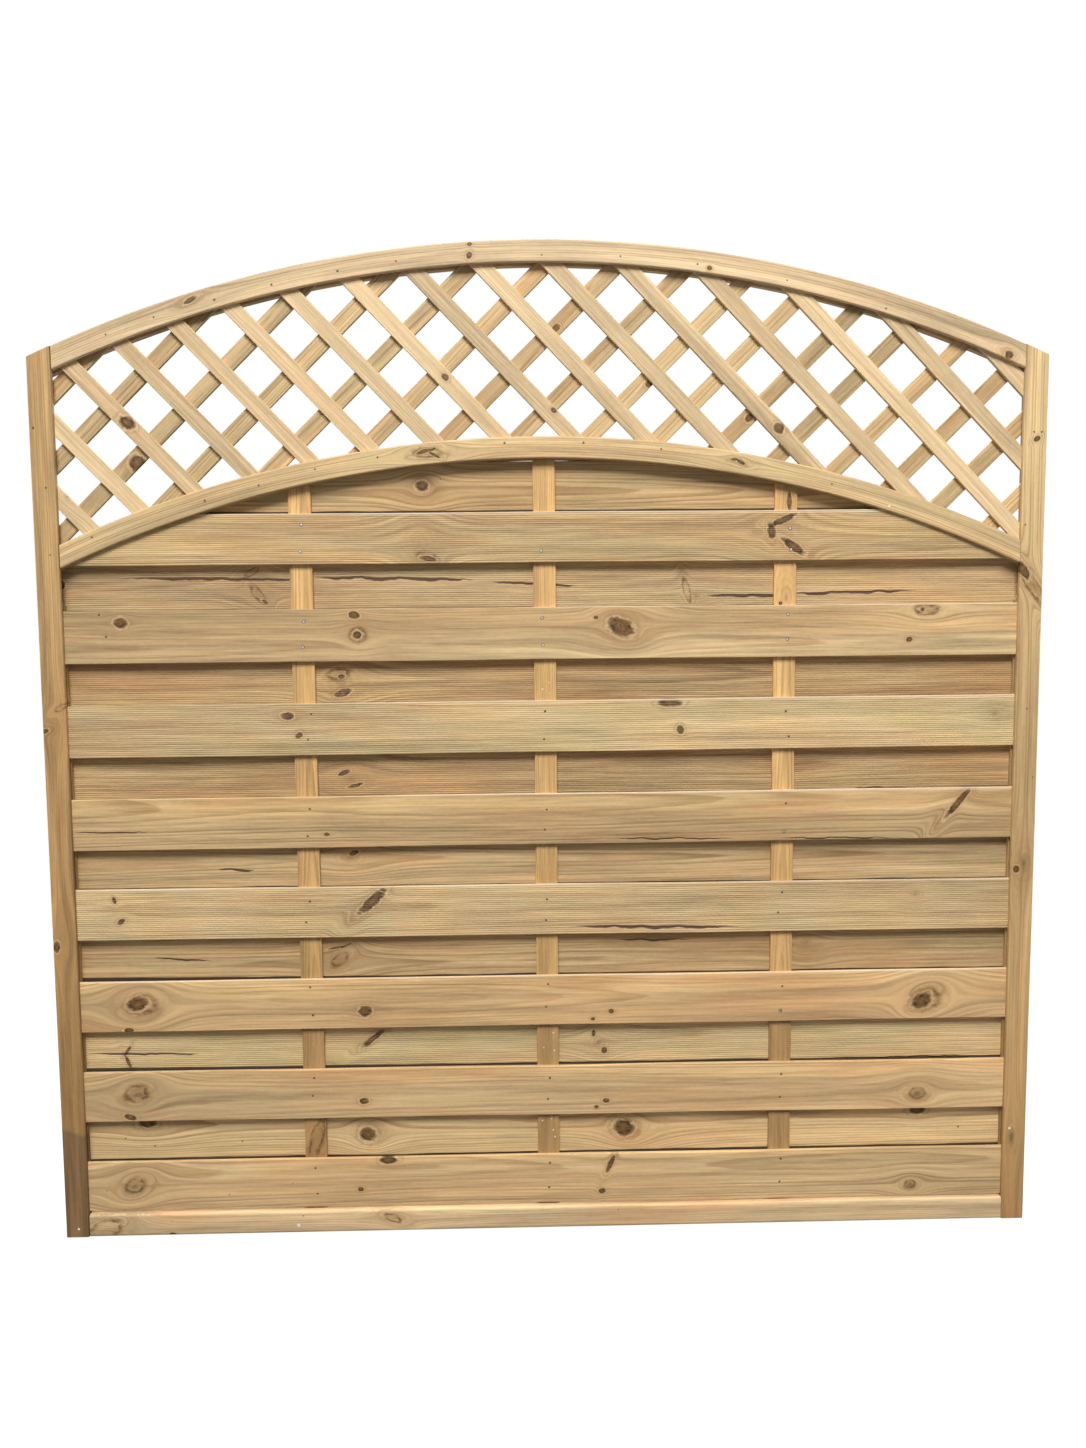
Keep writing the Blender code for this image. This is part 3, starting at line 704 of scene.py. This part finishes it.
    def knots(self):
        pine = self.pine
        gap = self.nearest("knots") + self.lump * 1.3 + self.fine * 0.5 + self.grit * 0.5
        core = 1.0 - gap.ramp(0.70, 1.06)
        ragged = self.lump.ramp(-0.16, 0.10) * 0.70 + 0.25
        waves = (gap * 11.0).op("SINE") * 0.5 + 0.5
        inside = (waves * 0.36 + self.grit * 0.9 + 0.03).ramp(0.0, 1.0).mix(pine.knot, pine.halo)
        self.lay((gap * 0.55).fall() * (waves * 0.28 + 0.34), pine.halo)
        self.lay(((gap - 1.38) * 5.5).fall() * 0.40, pine.resin)
        self.lay(((gap - 1.68) * 8.0).fall() * 0.40, pine.late)
        self.lay(core * 0.94, inside)
        self.lay(gap.ramp(0.45, 0.86) * (1.0 - gap.ramp(0.98, 1.36)) * ragged, pine.bark)
        self.rough = self.rough - core * 0.10

    def cracks(self):
        jitter = (self.along * 24.0).waver(2.0) - 0.5 + self.grit * 0.12
        split = fold("MAXIMUM", [self.cracked(crack, jitter) for crack in self.look["cracks"]])
        self.lay(split * 0.95, self.pine.crack)
        self.relief = self.relief - split * CRACK_DEPTH

    def cracked(self, crack, jitter):
        """Mask of one crack that wanders and tapers to its ends."""
        start, start_across, end, end_across, width = crack
        part = (self.along - start) / (end - start)
        centre = part * (end_across - start_across) + start_across + jitter * 0.006
        swell = (part * 2.0 - 1.0) * (part * 2.0 - 1.0)
        gap = abs(self.across - centre) / (width * 0.84) + swell * swell + jitter * 0.8
        return 1.0 - gap.ramp(0.40, 1.15)

    def edge_highlight(self):
        # Painted highlight: paler colour along a front slat's upper edge, where the light falls on it
        crest = SLAT_HEIGHT / 2 - self.look["shy"]
        lit_edge = self.across.ramp(crest - 0.0034, crest - 0.0014) * (self.patch.ramp(0.25, 0.60) * 0.6 + 0.4)
        self.lay(lit_edge * self.look["edge_highlight"], self.pine.pale)

    def lap(self):
        # Painted shade along the lower edge of a back slat's front face, where the front slat laps it
        left, right, wedge = self.look["lap"]
        part = (self.along - STILE_INNER) / OPENING
        taper = (1.0 - part * 4.0).op("MAXIMUM", 0.0)
        waver = (self.along * 7.0 + self.look["seed"]).waver(2.0) - 0.5
        edge = part * (right - left) + taper * wedge + waver * 0.0030 + (left - SLAT_HEIGHT / 2)
        front = 1.0 - self.depth.ramp(BACK_SLAT_LOW.y + 0.001, BACK_SLAT_LOW.y + 0.003)
        self.lay((1.0 - (self.across - edge).ramp(-0.0005, 0.0007)) * front * 0.94, self.pine.lap_shade)

    def dots(self):
        hole = 1.0 - (self.nearest_dot("dots") + self.grit * 0.8).ramp(0.55, 1.20)
        self.lay(hole * 0.88, self.pine.crack)

    def specks(self):
        self.lay(1.0 - (self.nearest_dot("specks") + self.grit * 1.6).ramp(0.60, 1.0), self.pine.fleck)


def new_material(name):
    """Start a material and return it with a field that adds to its nodes."""
    material = bpy.data.materials.new(name)
    material.use_nodes = True
    return material, Field(material.node_tree)


def pine_material(name, find_directions, look, line=None, groove=None):
    """Make the material of one board, with its grain laid along the directions given."""
    material, root = new_material(name)
    directions = find_directions(root)
    timber = Timber(directions, look, line(root) if line else None)
    if groove is not None:
        # The bottoms of a reeded face's grooves get painted shade
        timber.colour = timber.colour.times(1.0 - groove(*directions) * look["reed"])
    bump = root.node("ShaderNodeBump", inputs={"Strength": 1.0, "Distance": 1.0, "Height": timber.relief})
    feed(root.tree.nodes["Principled BSDF"], {
        "Base Color": timber.colour, "Roughness": timber.rough, "Normal": bump, "Specular IOR Level": 0.30})
    return material


def straight_grain(along_axis, across_axis, middle):
    """Grain that runs along one axis of the panel."""
    def find(root):
        axes = root.node("ShaderNodeTexCoord", output="Object").parts()
        return axes[along_axis], axes[across_axis] - middle, axes[1]
    return find


def arched_grain(radius, centre):
    """Grain that follows an arch of the panel."""
    def find(root):
        x, y, z = root.node("ShaderNodeTexCoord", output="Object").parts()
        side = x - MIDDLE_X
        rise = z - centre
        reach = (side * side + rise * rise) ** 0.5
        return side.op("ARCTAN2", rise) * radius, reach - radius, y
    return find


def lath_grain(root):
    """Grain that follows each lath by its own map."""
    along, across = root.node("ShaderNodeUVMap", {"uv_map": "Grain"}).parts()[:2]
    return along, across, root.node("ShaderNodeTexCoord", output="Object").parts()[1]


def lath_line(root):
    """Where the lath's middle line lies on the map, kept on its mesh."""
    return root.node("ShaderNodeAttribute", {"attribute_name": "line"}, output="Fac")


def on_laths(spots, direction, square):
    """Move spots from the even diagonals that they are listed by to the laths' own lean."""
    moved = []
    for falling, rising, *rest in spots:
        place = Vector((falling + rising, 0.0, rising - falling)) * math.sqrt(0.5)
        moved.append((place.dot(direction), place.dot(square), *rest))
    return moved


def paint(item, material):
    """Put one material on a piece."""
    item.data.materials.clear()
    item.data.materials.append(material)


def new_object(name, bm):
    """Turn a mesh into an object of the scene."""
    mesh = bpy.data.meshes.new(name)
    bm.to_mesh(mesh)
    bm.free()
    item = bpy.data.objects.new(name, mesh)
    bpy.context.scene.collection.objects.link(item)
    return item


def new_piece(name, bm, slot, *replaced):
    """Turn a mesh into a piece that rides with the panel."""
    bmesh.ops.recalc_face_normals(bm, faces=bm.faces)
    item = new_object(name, bm)
    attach(item, "root")
    if replaced:
        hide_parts(*replaced)
    return item


def slice_mesh(bm, place, direction, clear=False):
    """Cut a mesh with a plane and, where one side is cleared, close it again."""
    geometry = bm.verts[:] + bm.edges[:] + bm.faces[:]
    cut = bmesh.ops.bisect_plane(
        bm, geom=geometry, dist=1e-6, plane_co=place, plane_no=direction, clear_outer=clear, clear_inner=False)
    edges = [item for item in cut["geom_cut"] if isinstance(item, bmesh.types.BMEdge)]
    if clear and edges:
        bmesh.ops.holes_fill(bm, edges=edges, sides=0)


def bar(low, high, edge, segments):
    """Make a bar whose edges along x are rounded."""
    bm = bmesh.new()
    verts = bmesh.ops.create_cube(bm, size=1.0)["verts"]
    bmesh.ops.scale(bm, vec=[b - a for a, b in zip(low, high)], verts=verts)
    bmesh.ops.translate(bm, vec=[(a + b) / 2 for a, b in zip(low, high)], verts=verts)
    edges = [item for item in bm.edges if abs(item.verts[1].co.x - item.verts[0].co.x) > 1e-6]
    bmesh.ops.bevel(
        bm, geom=edges, offset=edge, offset_type="OFFSET", segments=segments, profile=0.5, affect="EDGES",
        clamp_overlap=True, material=-1)
    return bm


def reed(bm, middle, face_y, inward, slats):
    """Cut the fine grooves along one face of a slat."""
    for index in range(slats.reed_count):
        height = middle + (index - (slats.reed_count - 1) / 2) * slats.reed_pitch
        for shift in (-slats.reed_width / 2, 0.0, slats.reed_width / 2):
            slice_mesh(bm, (0.0, 0.0, height + shift), (0.0, 0.0, 1.0))
        floor = [v for v in bm.verts if abs(v.co.z - height) < 1e-5 and abs(v.co.y - face_y) < 1e-5]
        bmesh.ops.translate(bm, vec=(0.0, inward * slats.reed_depth, 0.0), verts=floor)


def trim_to_arch(bm, radius, centre, x_range):
    """Cut a board along the underside of the arched rail, a little inside its groove."""
    facets = 28
    for index in range(facets + 1):
        x = x_range[0] + (x_range[1] - x_range[0]) * index / facets - MIDDLE_X
        turn = math.asin(x / radius)
        outward = Vector((math.sin(turn), 0.0, math.cos(turn)))
        place = Vector((MIDDLE_X, 0.0, centre)) + outward * radius
        slice_mesh(bm, place, outward, clear=True)


def sag_at(along, drop):
    """How far a slat has dropped at a place along it."""
    return (along - STILE_INNER) * ((drop[1] - drop[0]) / OPENING) + drop[0]


def bend(bm, seed, drop, slats):
    """Let a slat bow a little between its battens, wander along its edges and sag to one end."""
    chance = random.Random(seed)
    stops = [STILE_INNER, *BATTEN_LINES, 2 * MIDDLE_X - STILE_INNER]
    bows = [chance.uniform(-1.0, 1.0) * slats.bow for stop in stops[1:]]
    phase = chance.uniform(0.0, math.tau)
    for vert in bm.verts:
        for start, end, bow in zip(stops[:-1], stops[1:], bows):
            if start < vert.co.x < end:
                part = (vert.co.x - start) / (end - start)
                vert.co.y += bow * math.sin(part * math.pi) ** 2
        vert.co.z -= sag_at(vert.co.x, drop)
        part = (vert.co.x - stops[0]) / (stops[-1] - stops[0])
        if 0.0 < part < 1.0:
            vert.co.z += slats.wander * math.sin(part * math.pi) * math.sin(part * 5.3 * math.pi + phase)


def nail_holes(number):
    """Bruised wood round the nails of one front slat."""
    return [
        (*metres(spot), bruise)
        for nails, bruise in ((BRIGHT_NAILS, BRIGHT_BRUISE), (BRADS, BRAD_BRUISE))
        for spot in nails.get(number, ())]


def make_slat(name, number, low, high, middle, look):
    """Build one slat with its reeded side in front or behind."""
    slats = bpy.context.scene.fence_slats
    lattice = bpy.context.scene.fence_lattice
    bottom, top = middle - SLAT_HEIGHT / 2, middle + SLAT_HEIGHT / 2
    bm = bar((low.x, low.y, bottom), (high.x, high.y, top - look["shy"]), slats.edge, 3)
    face_y, inward = (low.y, 1.0) if look["reeded"] else (high.y, -1.0)
    reed(bm, middle, face_y, inward, slats)
    if number == 1:
        seat_radius = lattice.low_radius - lattice.rail_height + FIRST_SLAT_SEAT
        trim_to_arch(bm, seat_radius, lattice.low_centre, (low.x, high.x))
    for index in range(1, slats.stations):
        slice_mesh(bm, (low.x + (high.x - low.x) * index / slats.stations, 0.0, 0.0), (1.0, 0.0, 0.0))
    bend(bm, look["seed"], look["drop"], slats)
    node = f"{name}_{number}"
    piece = new_piece(f"{name}_board_{number}", bm, f"{name}s", node)

    # Painted shade in the bottoms of the reeds' grooves, stronger in some grooves than in others
    def groove(along, across, depth):
        count = (across + sag_at(along, look["drop"])) / slats.reed_pitch
        wave = (count * math.tau).op("COSINE")
        start, end = FACE_DEPTHS
        if look["reeded"]:
            near = 1.0 - depth.ramp(low.y + start, low.y + end)
        else:
            near = depth.ramp(high.y - end, high.y - start)
        mottle = along.vector(along * 5.0, count.op("FLOOR") * 3.7, 0.0).noise(2.0)
        return (0.0 - wave).ramp(-0.2, 0.9) * near * (mottle.ramp(0.25, 0.75) * 0.9 + 0.25)

    paint(piece, pine_material(f"{node} pine", straight_grain(0, 2, middle), look, groove=groove))


class FENCE_OT_finish_frame(bpy.types.Operator):
    """Give the stiles, the arched rails and the bottom rail their grain, knots and marks"""
    bl_idname = "fence.finish_frame"
    bl_label = "Finish frame"

    def execute(self, context):
        lattice = context.scene.fence_lattice
        half = lattice.rail_height / 2
        centres = {node: sum(seen(node), Vector()) / 2 for node in ("left_stile", "right_stile", "bottom_rail")}
        grains = {
            "left_stile": (straight_grain(2, 0, centres["left_stile"].x), LEFT_STILE),
            "right_stile": (straight_grain(2, 0, centres["right_stile"].x), RIGHT_STILE),
            "top_arch_rail": (arched_grain(lattice.top_radius - half, lattice.top_centre), TOP_RAIL),
            "lower_arch_rail": (arched_grain(lattice.low_radius - half, lattice.low_centre), LOWER_RAIL),
            "bottom_rail": (straight_grain(0, 2, centres["bottom_rail"].z), BOTTOM_RAIL)}
        for node, (grain, look) in grains.items():
            paint(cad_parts[node], pine_material(f"{node} pine", grain, look))
        return {"FINISHED"}


class FENCE_OT_finish_battens(bpy.types.Operator):
    """Give the upright battens their grain"""
    bl_idname = "fence.finish_battens"
    bl_label = "Finish battens"

    def execute(self, context):
        for (node, look), line in zip(BATTENS.items(), BATTEN_LINES):
            paint(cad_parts[node], pine_material(f"{node} pine", straight_grain(2, 0, line), look))
        return {"FINISHED"}


class FENCE_OT_make_slats(bpy.types.Operator):
    """Build the reeded slats of both layers"""
    bl_idname = "fence.make_slats"
    bl_label = "Make slats"

    def execute(self, context):
        for index, look in enumerate(FRONT_SLATS):
            look = {**look, "dots": look["dots"] + nail_holes(index + 1), "edge_highlight": FRONT_EDGE_HIGHLIGHT}
            middle = FRONT_SLAT_MID - index * SLAT_PITCH
            make_slat("front_slat", index + 1, SLAT_LOW, SLAT_HIGH, middle, look)
        for index, look in enumerate(BACK_SLATS):
            middle = BACK_SLAT_MID - index * SLAT_PITCH + (0.0 if index else FIRST_BACK_SLAT_LIFT)
            make_slat("back_slat", index + 1, BACK_SLAT_LOW, BACK_SLAT_HIGH, middle, look)
        return {"FINISHED"}


class LatticeSpace:
    """The space between the two arched rails and the stiles, which the laths fill."""

    def __init__(self, lattice):
        self.low, self.high = seen("lattice")
        self.top = lattice.top_radius - lattice.rail_height + lattice.seat
        self.top_centre = Vector((MIDDLE_X, 0.0, lattice.top_centre))
        self.foot = lattice.low_radius - lattice.seat
        self.foot_centre = Vector((MIDDLE_X, 0.0, lattice.low_centre))

    def holds(self, spot):
        """Whether a point lies between the arches and the stiles."""
        between = (spot - self.top_centre).length < self.top and (spot - self.foot_centre).length > self.foot
        return between and self.low.x < spot.x < self.high.x and spot.z > self.low.z

    def middle_of(self, point, direction):
        """Slide a point along its lath until it lies halfway between the two ends."""
        steps = range(-STEPS_EACH_WAY, STEPS_EACH_WAY + 1)
        reached = [point + direction * (step / STEPS_PER_METRE) for step in steps]
        inside = [spot for spot in reached if self.holds(spot)]
        if not inside:
            raise RuntimeError("a lath misses the space between the arches")
        return (inside[0] + inside[-1]) / 2

    def trim(self, bm, centre, direction):
        """Cut a lath's ends to the arched rails and to the stiles' rebates."""
        slice_mesh(bm, (self.low.x, 0.0, 0.0), (-1.0, 0.0, 0.0), clear=True)
        slice_mesh(bm, (self.high.x, 0.0, 0.0), (1.0, 0.0, 0.0), clear=True)
        for radius, middle, outward in ((self.top, self.top_centre, 1.0), (self.foot, self.foot_centre, -1.0)):
            for way in (1.0, -1.0):
                meeting = self.meet(centre, direction * way, middle, radius)
                if meeting is None or not self.low.x - LATH_MARGIN < meeting.x < self.high.x + LATH_MARGIN:
                    continue
                radial = (meeting - middle).normalized() * outward
                if radial.dot(direction * way) > 0.0:
                    slice_mesh(bm, meeting, radial, clear=True)

    def meet(self, start, direction, middle, radius):
        """First point along a line that lies on a circle."""
        offset = start - middle
        half = offset.dot(direction)
        rest = half * half - offset.length_squared + radius * radius
        if rest < 0.0:
            return None
        ahead = [reach for reach in (-half - math.sqrt(rest), -half + math.sqrt(rest)) if reach > 0.0]
        return start + direction * ahead[0] if ahead else None


class FENCE_OT_make_lattice(bpy.types.Operator):
    """Build the two layers of laths and seat them in the arched rails"""
    bl_idname = "fence.make_lattice"
    bl_label = "Make lattice"

    def execute(self, context):
        low, high = seen("lattice")
        middle_y = (low.y + high.y) / 2
        lattice = context.scene.fence_lattice
        falling = -math.radians(45.0) - lattice.front_tilt
        rising = math.radians(45.0) - lattice.back_tilt
        self.layer(lattice, "front_laths", FRONT_LATH_LINES, falling, 1.0, (low.y, middle_y), FRONT_LATHS)
        self.layer(lattice, "back_laths", BACK_LATH_LINES, rising, -1.0, (middle_y, high.y), BACK_LATHS)
        return {"FINISHED"}

    def layer(self, lattice, name, lines, turn, side, y_range, look):
        """Build all the laths that lie one way as one piece."""
        space = LatticeSpace(lattice)
        direction = Vector((math.cos(turn), 0.0, math.sin(turn)))
        square = Vector((-direction.z, 0.0, direction.x))
        joined = bmesh.new()
        grain = joined.loops.layers.uv.new("Grain")
        middle_line = joined.verts.layers.float.new("line")
        origin = Vector((MIDDLE_X, 0.0, FLOOR_Z))
        for line in lines:
            point = origin + Vector((line * math.sqrt(0.5), 0.0, side * line * math.sqrt(0.5)))
            centre = space.middle_of(point, Vector((1.0, 0.0, -side)).normalized())
            half = lattice.width / 2
            single = bar((-LATH_HALF, y_range[0], -half), (LATH_HALF, y_range[1], half), lattice.edge, 2)
            place = Matrix.Translation(centre) @ Matrix.Rotation(-turn, 4, "Y")
            bmesh.ops.transform(single, matrix=place, verts=single.verts)
            space.trim(single, centre, direction)
            if not single.verts:
                raise RuntimeError(f"a lath of {name} lies outside the arches")
            kept = bpy.data.meshes.new("lath")
            single.to_mesh(kept)
            single.free()
            old_verts, old_faces = len(joined.verts), len(joined.faces)
            joined.from_mesh(kept)
            bpy.data.meshes.remove(kept)
            joined.verts.ensure_lookup_table()
            joined.faces.ensure_lookup_table()
            for vert in joined.verts[old_verts:]:
                vert[middle_line] = (centre - origin).dot(square)
            for loop in itertools.chain.from_iterable(face.loops for face in joined.faces[old_faces:]):
                offset = loop.vert.co - origin
                loop[grain].uv = (offset.dot(direction), offset.dot(square))
        look = {**look, **{kind: on_laths(look[kind], direction, square) for kind in ("knots", "ghosts")}}
        piece = new_piece(name, joined, "lattice", "lattice")
        paint(piece, pine_material(f"{name} pine", lath_grain, look, line=lath_line))


class FENCE_OT_make_nails(bpy.types.Operator):
    """Set the heads of the nails that hold the slats to the battens, from the front and from the back"""
    bl_idname = "fence.make_nails"
    bl_label = "Make nails"

    def execute(self, context):
        nails = context.scene.fence_nails
        bright, brads = (
            [(x, SLAT_LOW.y, FRONT_SLAT_MID - (slat - 1) * SLAT_PITCH + rise)
             for slat, spots in table.items() for x, rise in map(metres, spots)]
            for table in (BRIGHT_NAILS, BRADS))
        chance = random.Random(5)
        behind = []
        stray_x, stray_z = BACK_NAIL_STRAY
        rises = (BACK_NAIL_RISE, -BACK_NAIL_RISE)
        for slat, line, rise in itertools.product(range(len(BACK_SLATS)), BATTEN_LINES, rises):
            if slat == 0 and rise > 0:
                continue
            x = line + chance.uniform(-stray_x, stray_x)
            z = BACK_SLAT_MID - slat * SLAT_PITCH + rise + chance.uniform(-stray_z, stray_z)
            behind.append((x, BACK_SLAT_HIGH.y, z))
        zinc = self.steel("galvanised steel", nails.zinc, 0.38, 1.0)
        dull = self.steel("dull steel", nails.rust, 0.62, 0.55)
        self.heads(nails, "front_nail_heads", bright, nails.bright_head, "front_slats", -1.0, zinc)
        self.heads(nails, "front_brad_heads", brads, nails.brad_head, "front_slats", -1.0, dull)
        self.heads(nails, "back_nail_heads", behind, nails.bright_head, "back_slats", 1.0, zinc)
        return {"FINISHED"}

    def heads(self, nails, name, spots, width, slot, way, material):
        """Set the heads of one kind of nail just proud of one face."""
        bm = bmesh.new()
        for spot in spots:
            place = Vector(spot) + Vector((0.0, way * (nails.proud - NAIL_DEPTH / 2), 0.0))
            turn = Matrix.Translation(place) @ Matrix.Rotation(math.radians(90.0) * -way, 4, "X")
            bmesh.ops.create_cone(
                bm, cap_ends=True, segments=12, radius1=width / 2, radius2=width / 2 * 0.8, depth=NAIL_DEPTH,
                matrix=turn)
        paint(new_piece(name, bm, slot), material)

    def steel(self, name, colour, roughness, metal):
        """Steel with a little wear and soiling."""
        material, root = new_material(name)
        mottle = root.node("ShaderNodeTexCoord", output="Object").stretch((900.0, 900.0, 900.0)).noise(3.0)
        soiled = [part * 0.55 for part in colour]
        feed(root.tree.nodes["Principled BSDF"], {
            "Base Color": mottle.ramp(0.35, 0.70).mix(colour, soiled),
            "Roughness": mottle * 0.25 + (roughness - 0.12), "Metallic": metal})
        return material


class FENCE_OT_set_stage(bpy.types.Operator):
    """Lay the pale floor, set the soft light and place the camera"""
    bl_idname = "fence.set_stage"
    bl_label = "Set stage"

    def execute(self, context):
        stage = context.scene.fence_stage
        self.floor(stage)
        self.sky(context, stage)
        self.lamp("key light", (0.4, -5.2, 6.0), (0.9, 0.0, 0.0), 3.0, stage.key)
        self.lamp("back light", (2.6, 5.5, 4.2), (0.9, 0.0, 0.0), 4.0, stage.fill)
        self.lamp("right light", (7.4, 0.0, 2.6), (1.8, 0.0, 0.1), 2.5, stage.side)
        self.lamp("left light", (-5.6, 0.0, 2.6), (0.0, 0.0, 0.1), 2.5, stage.side)
        self.camera(context, stage)
        context.scene.view_settings.view_transform = "Standard"
        return {"FINISHED"}

    def floor(self, stage):
        """A large pale floor that keeps a soft shadow."""
        bm = bmesh.new()
        bmesh.ops.create_grid(bm, x_segments=1, y_segments=1, size=stage.floor_size / 2)
        bmesh.ops.translate(bm, vec=(MIDDLE_X, 0.0, FLOOR_Z), verts=bm.verts)
        item = new_object("floor", bm)
        material, root = new_material("pale floor")
        nodes = root.tree.nodes
        nodes.remove(nodes["Principled BSDF"])
        ray = root.node("ShaderNodeLightPath", output="Is Camera Ray")
        shade = ray.mix((0.17, 0.17, 0.17), (1.0, 1.0, 1.0))
        plain = root.node("ShaderNodeBsdfDiffuse", inputs={"Color": shade})
        white = root.node("ShaderNodeEmission", inputs={"Color": (1.0, 1.0, 1.0, 1.0), "Strength": 1.0})
        place = root.node("ShaderNodeTexCoord", output="Object").stretch((1.0, 1.0, 0.0), (-MIDDLE_X, 0.0, 0.0))
        far = distance(place).ramp(1.0, 3.0) * 0.25 + 0.75
        blend = root.node("ShaderNodeMixShader", inputs={0: ray * far, 1: plain, 2: white})
        feed(nodes["Material Output"], {"Surface": blend})
        paint(item, material)

    def sky(self, context, stage):
        """White all round, seen white by the camera and softer as light."""
        world = bpy.data.worlds.new("soft daylight")
        context.scene.world = world
        world.use_nodes = True
        ray = Field(world.node_tree).node("ShaderNodeLightPath")
        seen_white = fold("MAXIMUM", ray.outputs("Is Camera Ray", "Is Glossy Ray", "Is Transmission Ray"))
        feed(world.node_tree.nodes["Background"], {
            "Color": (1.0, 1.0, 1.0, 1.0), "Strength": seen_white * (1.0 - stage.sky) + stage.sky})

    def lamp(self, name, place, target, size, watts):
        """A large square lamp turned towards the panel."""
        data = bpy.data.lights.new(name, "AREA")
        data.shape = "SQUARE"
        data.size = size
        data.energy = watts
        item = bpy.data.objects.new(name, data)
        item.location = place
        item.rotation_euler = (Vector(target) - Vector(place)).to_track_quat("-Z", "Y").to_euler()
        bpy.context.scene.collection.objects.link(item)

    def camera(self, context, stage):
        """Stand the camera where the picture was taken from."""
        ahead = Vector((
            math.sin(stage.yaw) * math.cos(stage.pitch), math.cos(stage.yaw) * math.cos(stage.pitch),
            math.sin(stage.pitch)))
        level = Vector((math.cos(stage.yaw), -math.sin(stage.yaw), 0.0))
        upright = level.cross(ahead)
        right = math.cos(stage.roll) * level + math.sin(stage.roll) * upright
        up = math.cos(stage.roll) * upright - math.sin(stage.roll) * level
        data = bpy.data.cameras.new("camera")
        data.sensor_width = 36.0
        data.lens = stage.lens
        item = bpy.data.objects.new("camera", data)
        bpy.context.scene.collection.objects.link(item)
        turn = Matrix((right, up, -ahead)).transposed().to_4x4()
        item.matrix_world = Matrix.Translation(stage.camera_place) @ turn
        context.scene.camera = item


class FENCE_PT_panel(bpy.types.Panel):
    """List the steps that dress the fence panel"""
    bl_label = "Fence panel"
    bl_idname = "FENCE_PT_panel"
    bl_space_type = "VIEW_3D"
    bl_region_type = "UI"
    bl_category = "Fence"

    def draw(self, context):
        for step in STEPS:
            self.layout.operator(step.bl_idname)
        for group in GROUPS:
            settings = getattr(context.scene, group)
            box = self.layout.box()
            for name in settings.bl_rna.properties.keys():
                if name not in ("name", "rna_type"):
                    box.prop(settings, name)


STEPS = (
    FENCE_OT_finish_frame, FENCE_OT_finish_battens, FENCE_OT_make_slats, FENCE_OT_make_lattice,
    FENCE_OT_make_nails, FENCE_OT_set_stage)
GROUPS = {
    "fence_pine": PineSettings, "fence_slats": SlatSettings, "fence_lattice": LatticeSettings,
    "fence_nails": NailSettings, "fence_stage": StageSettings}


def register():
    for group in GROUPS.values():
        bpy.utils.register_class(group)
    for name, group in GROUPS.items():
        setattr(bpy.types.Scene, name, PointerProperty(type=group))
    for step in STEPS:
        bpy.utils.register_class(step)
    bpy.utils.register_class(FENCE_PT_panel)


def unregister():
    bpy.utils.unregister_class(FENCE_PT_panel)
    for step in reversed(STEPS):
        bpy.utils.unregister_class(step)
    for name in GROUPS:
        delattr(bpy.types.Scene, name)
    for group in GROUPS.values():
        bpy.utils.unregister_class(group)


def main():
    register()
    bpy.ops.fence.finish_frame()
    bpy.ops.fence.finish_battens()
    bpy.ops.fence.make_slats()
    bpy.ops.fence.make_lattice()
    bpy.ops.fence.make_nails()
    bpy.ops.fence.set_stage()


if __name__ == "__main__":
    main()
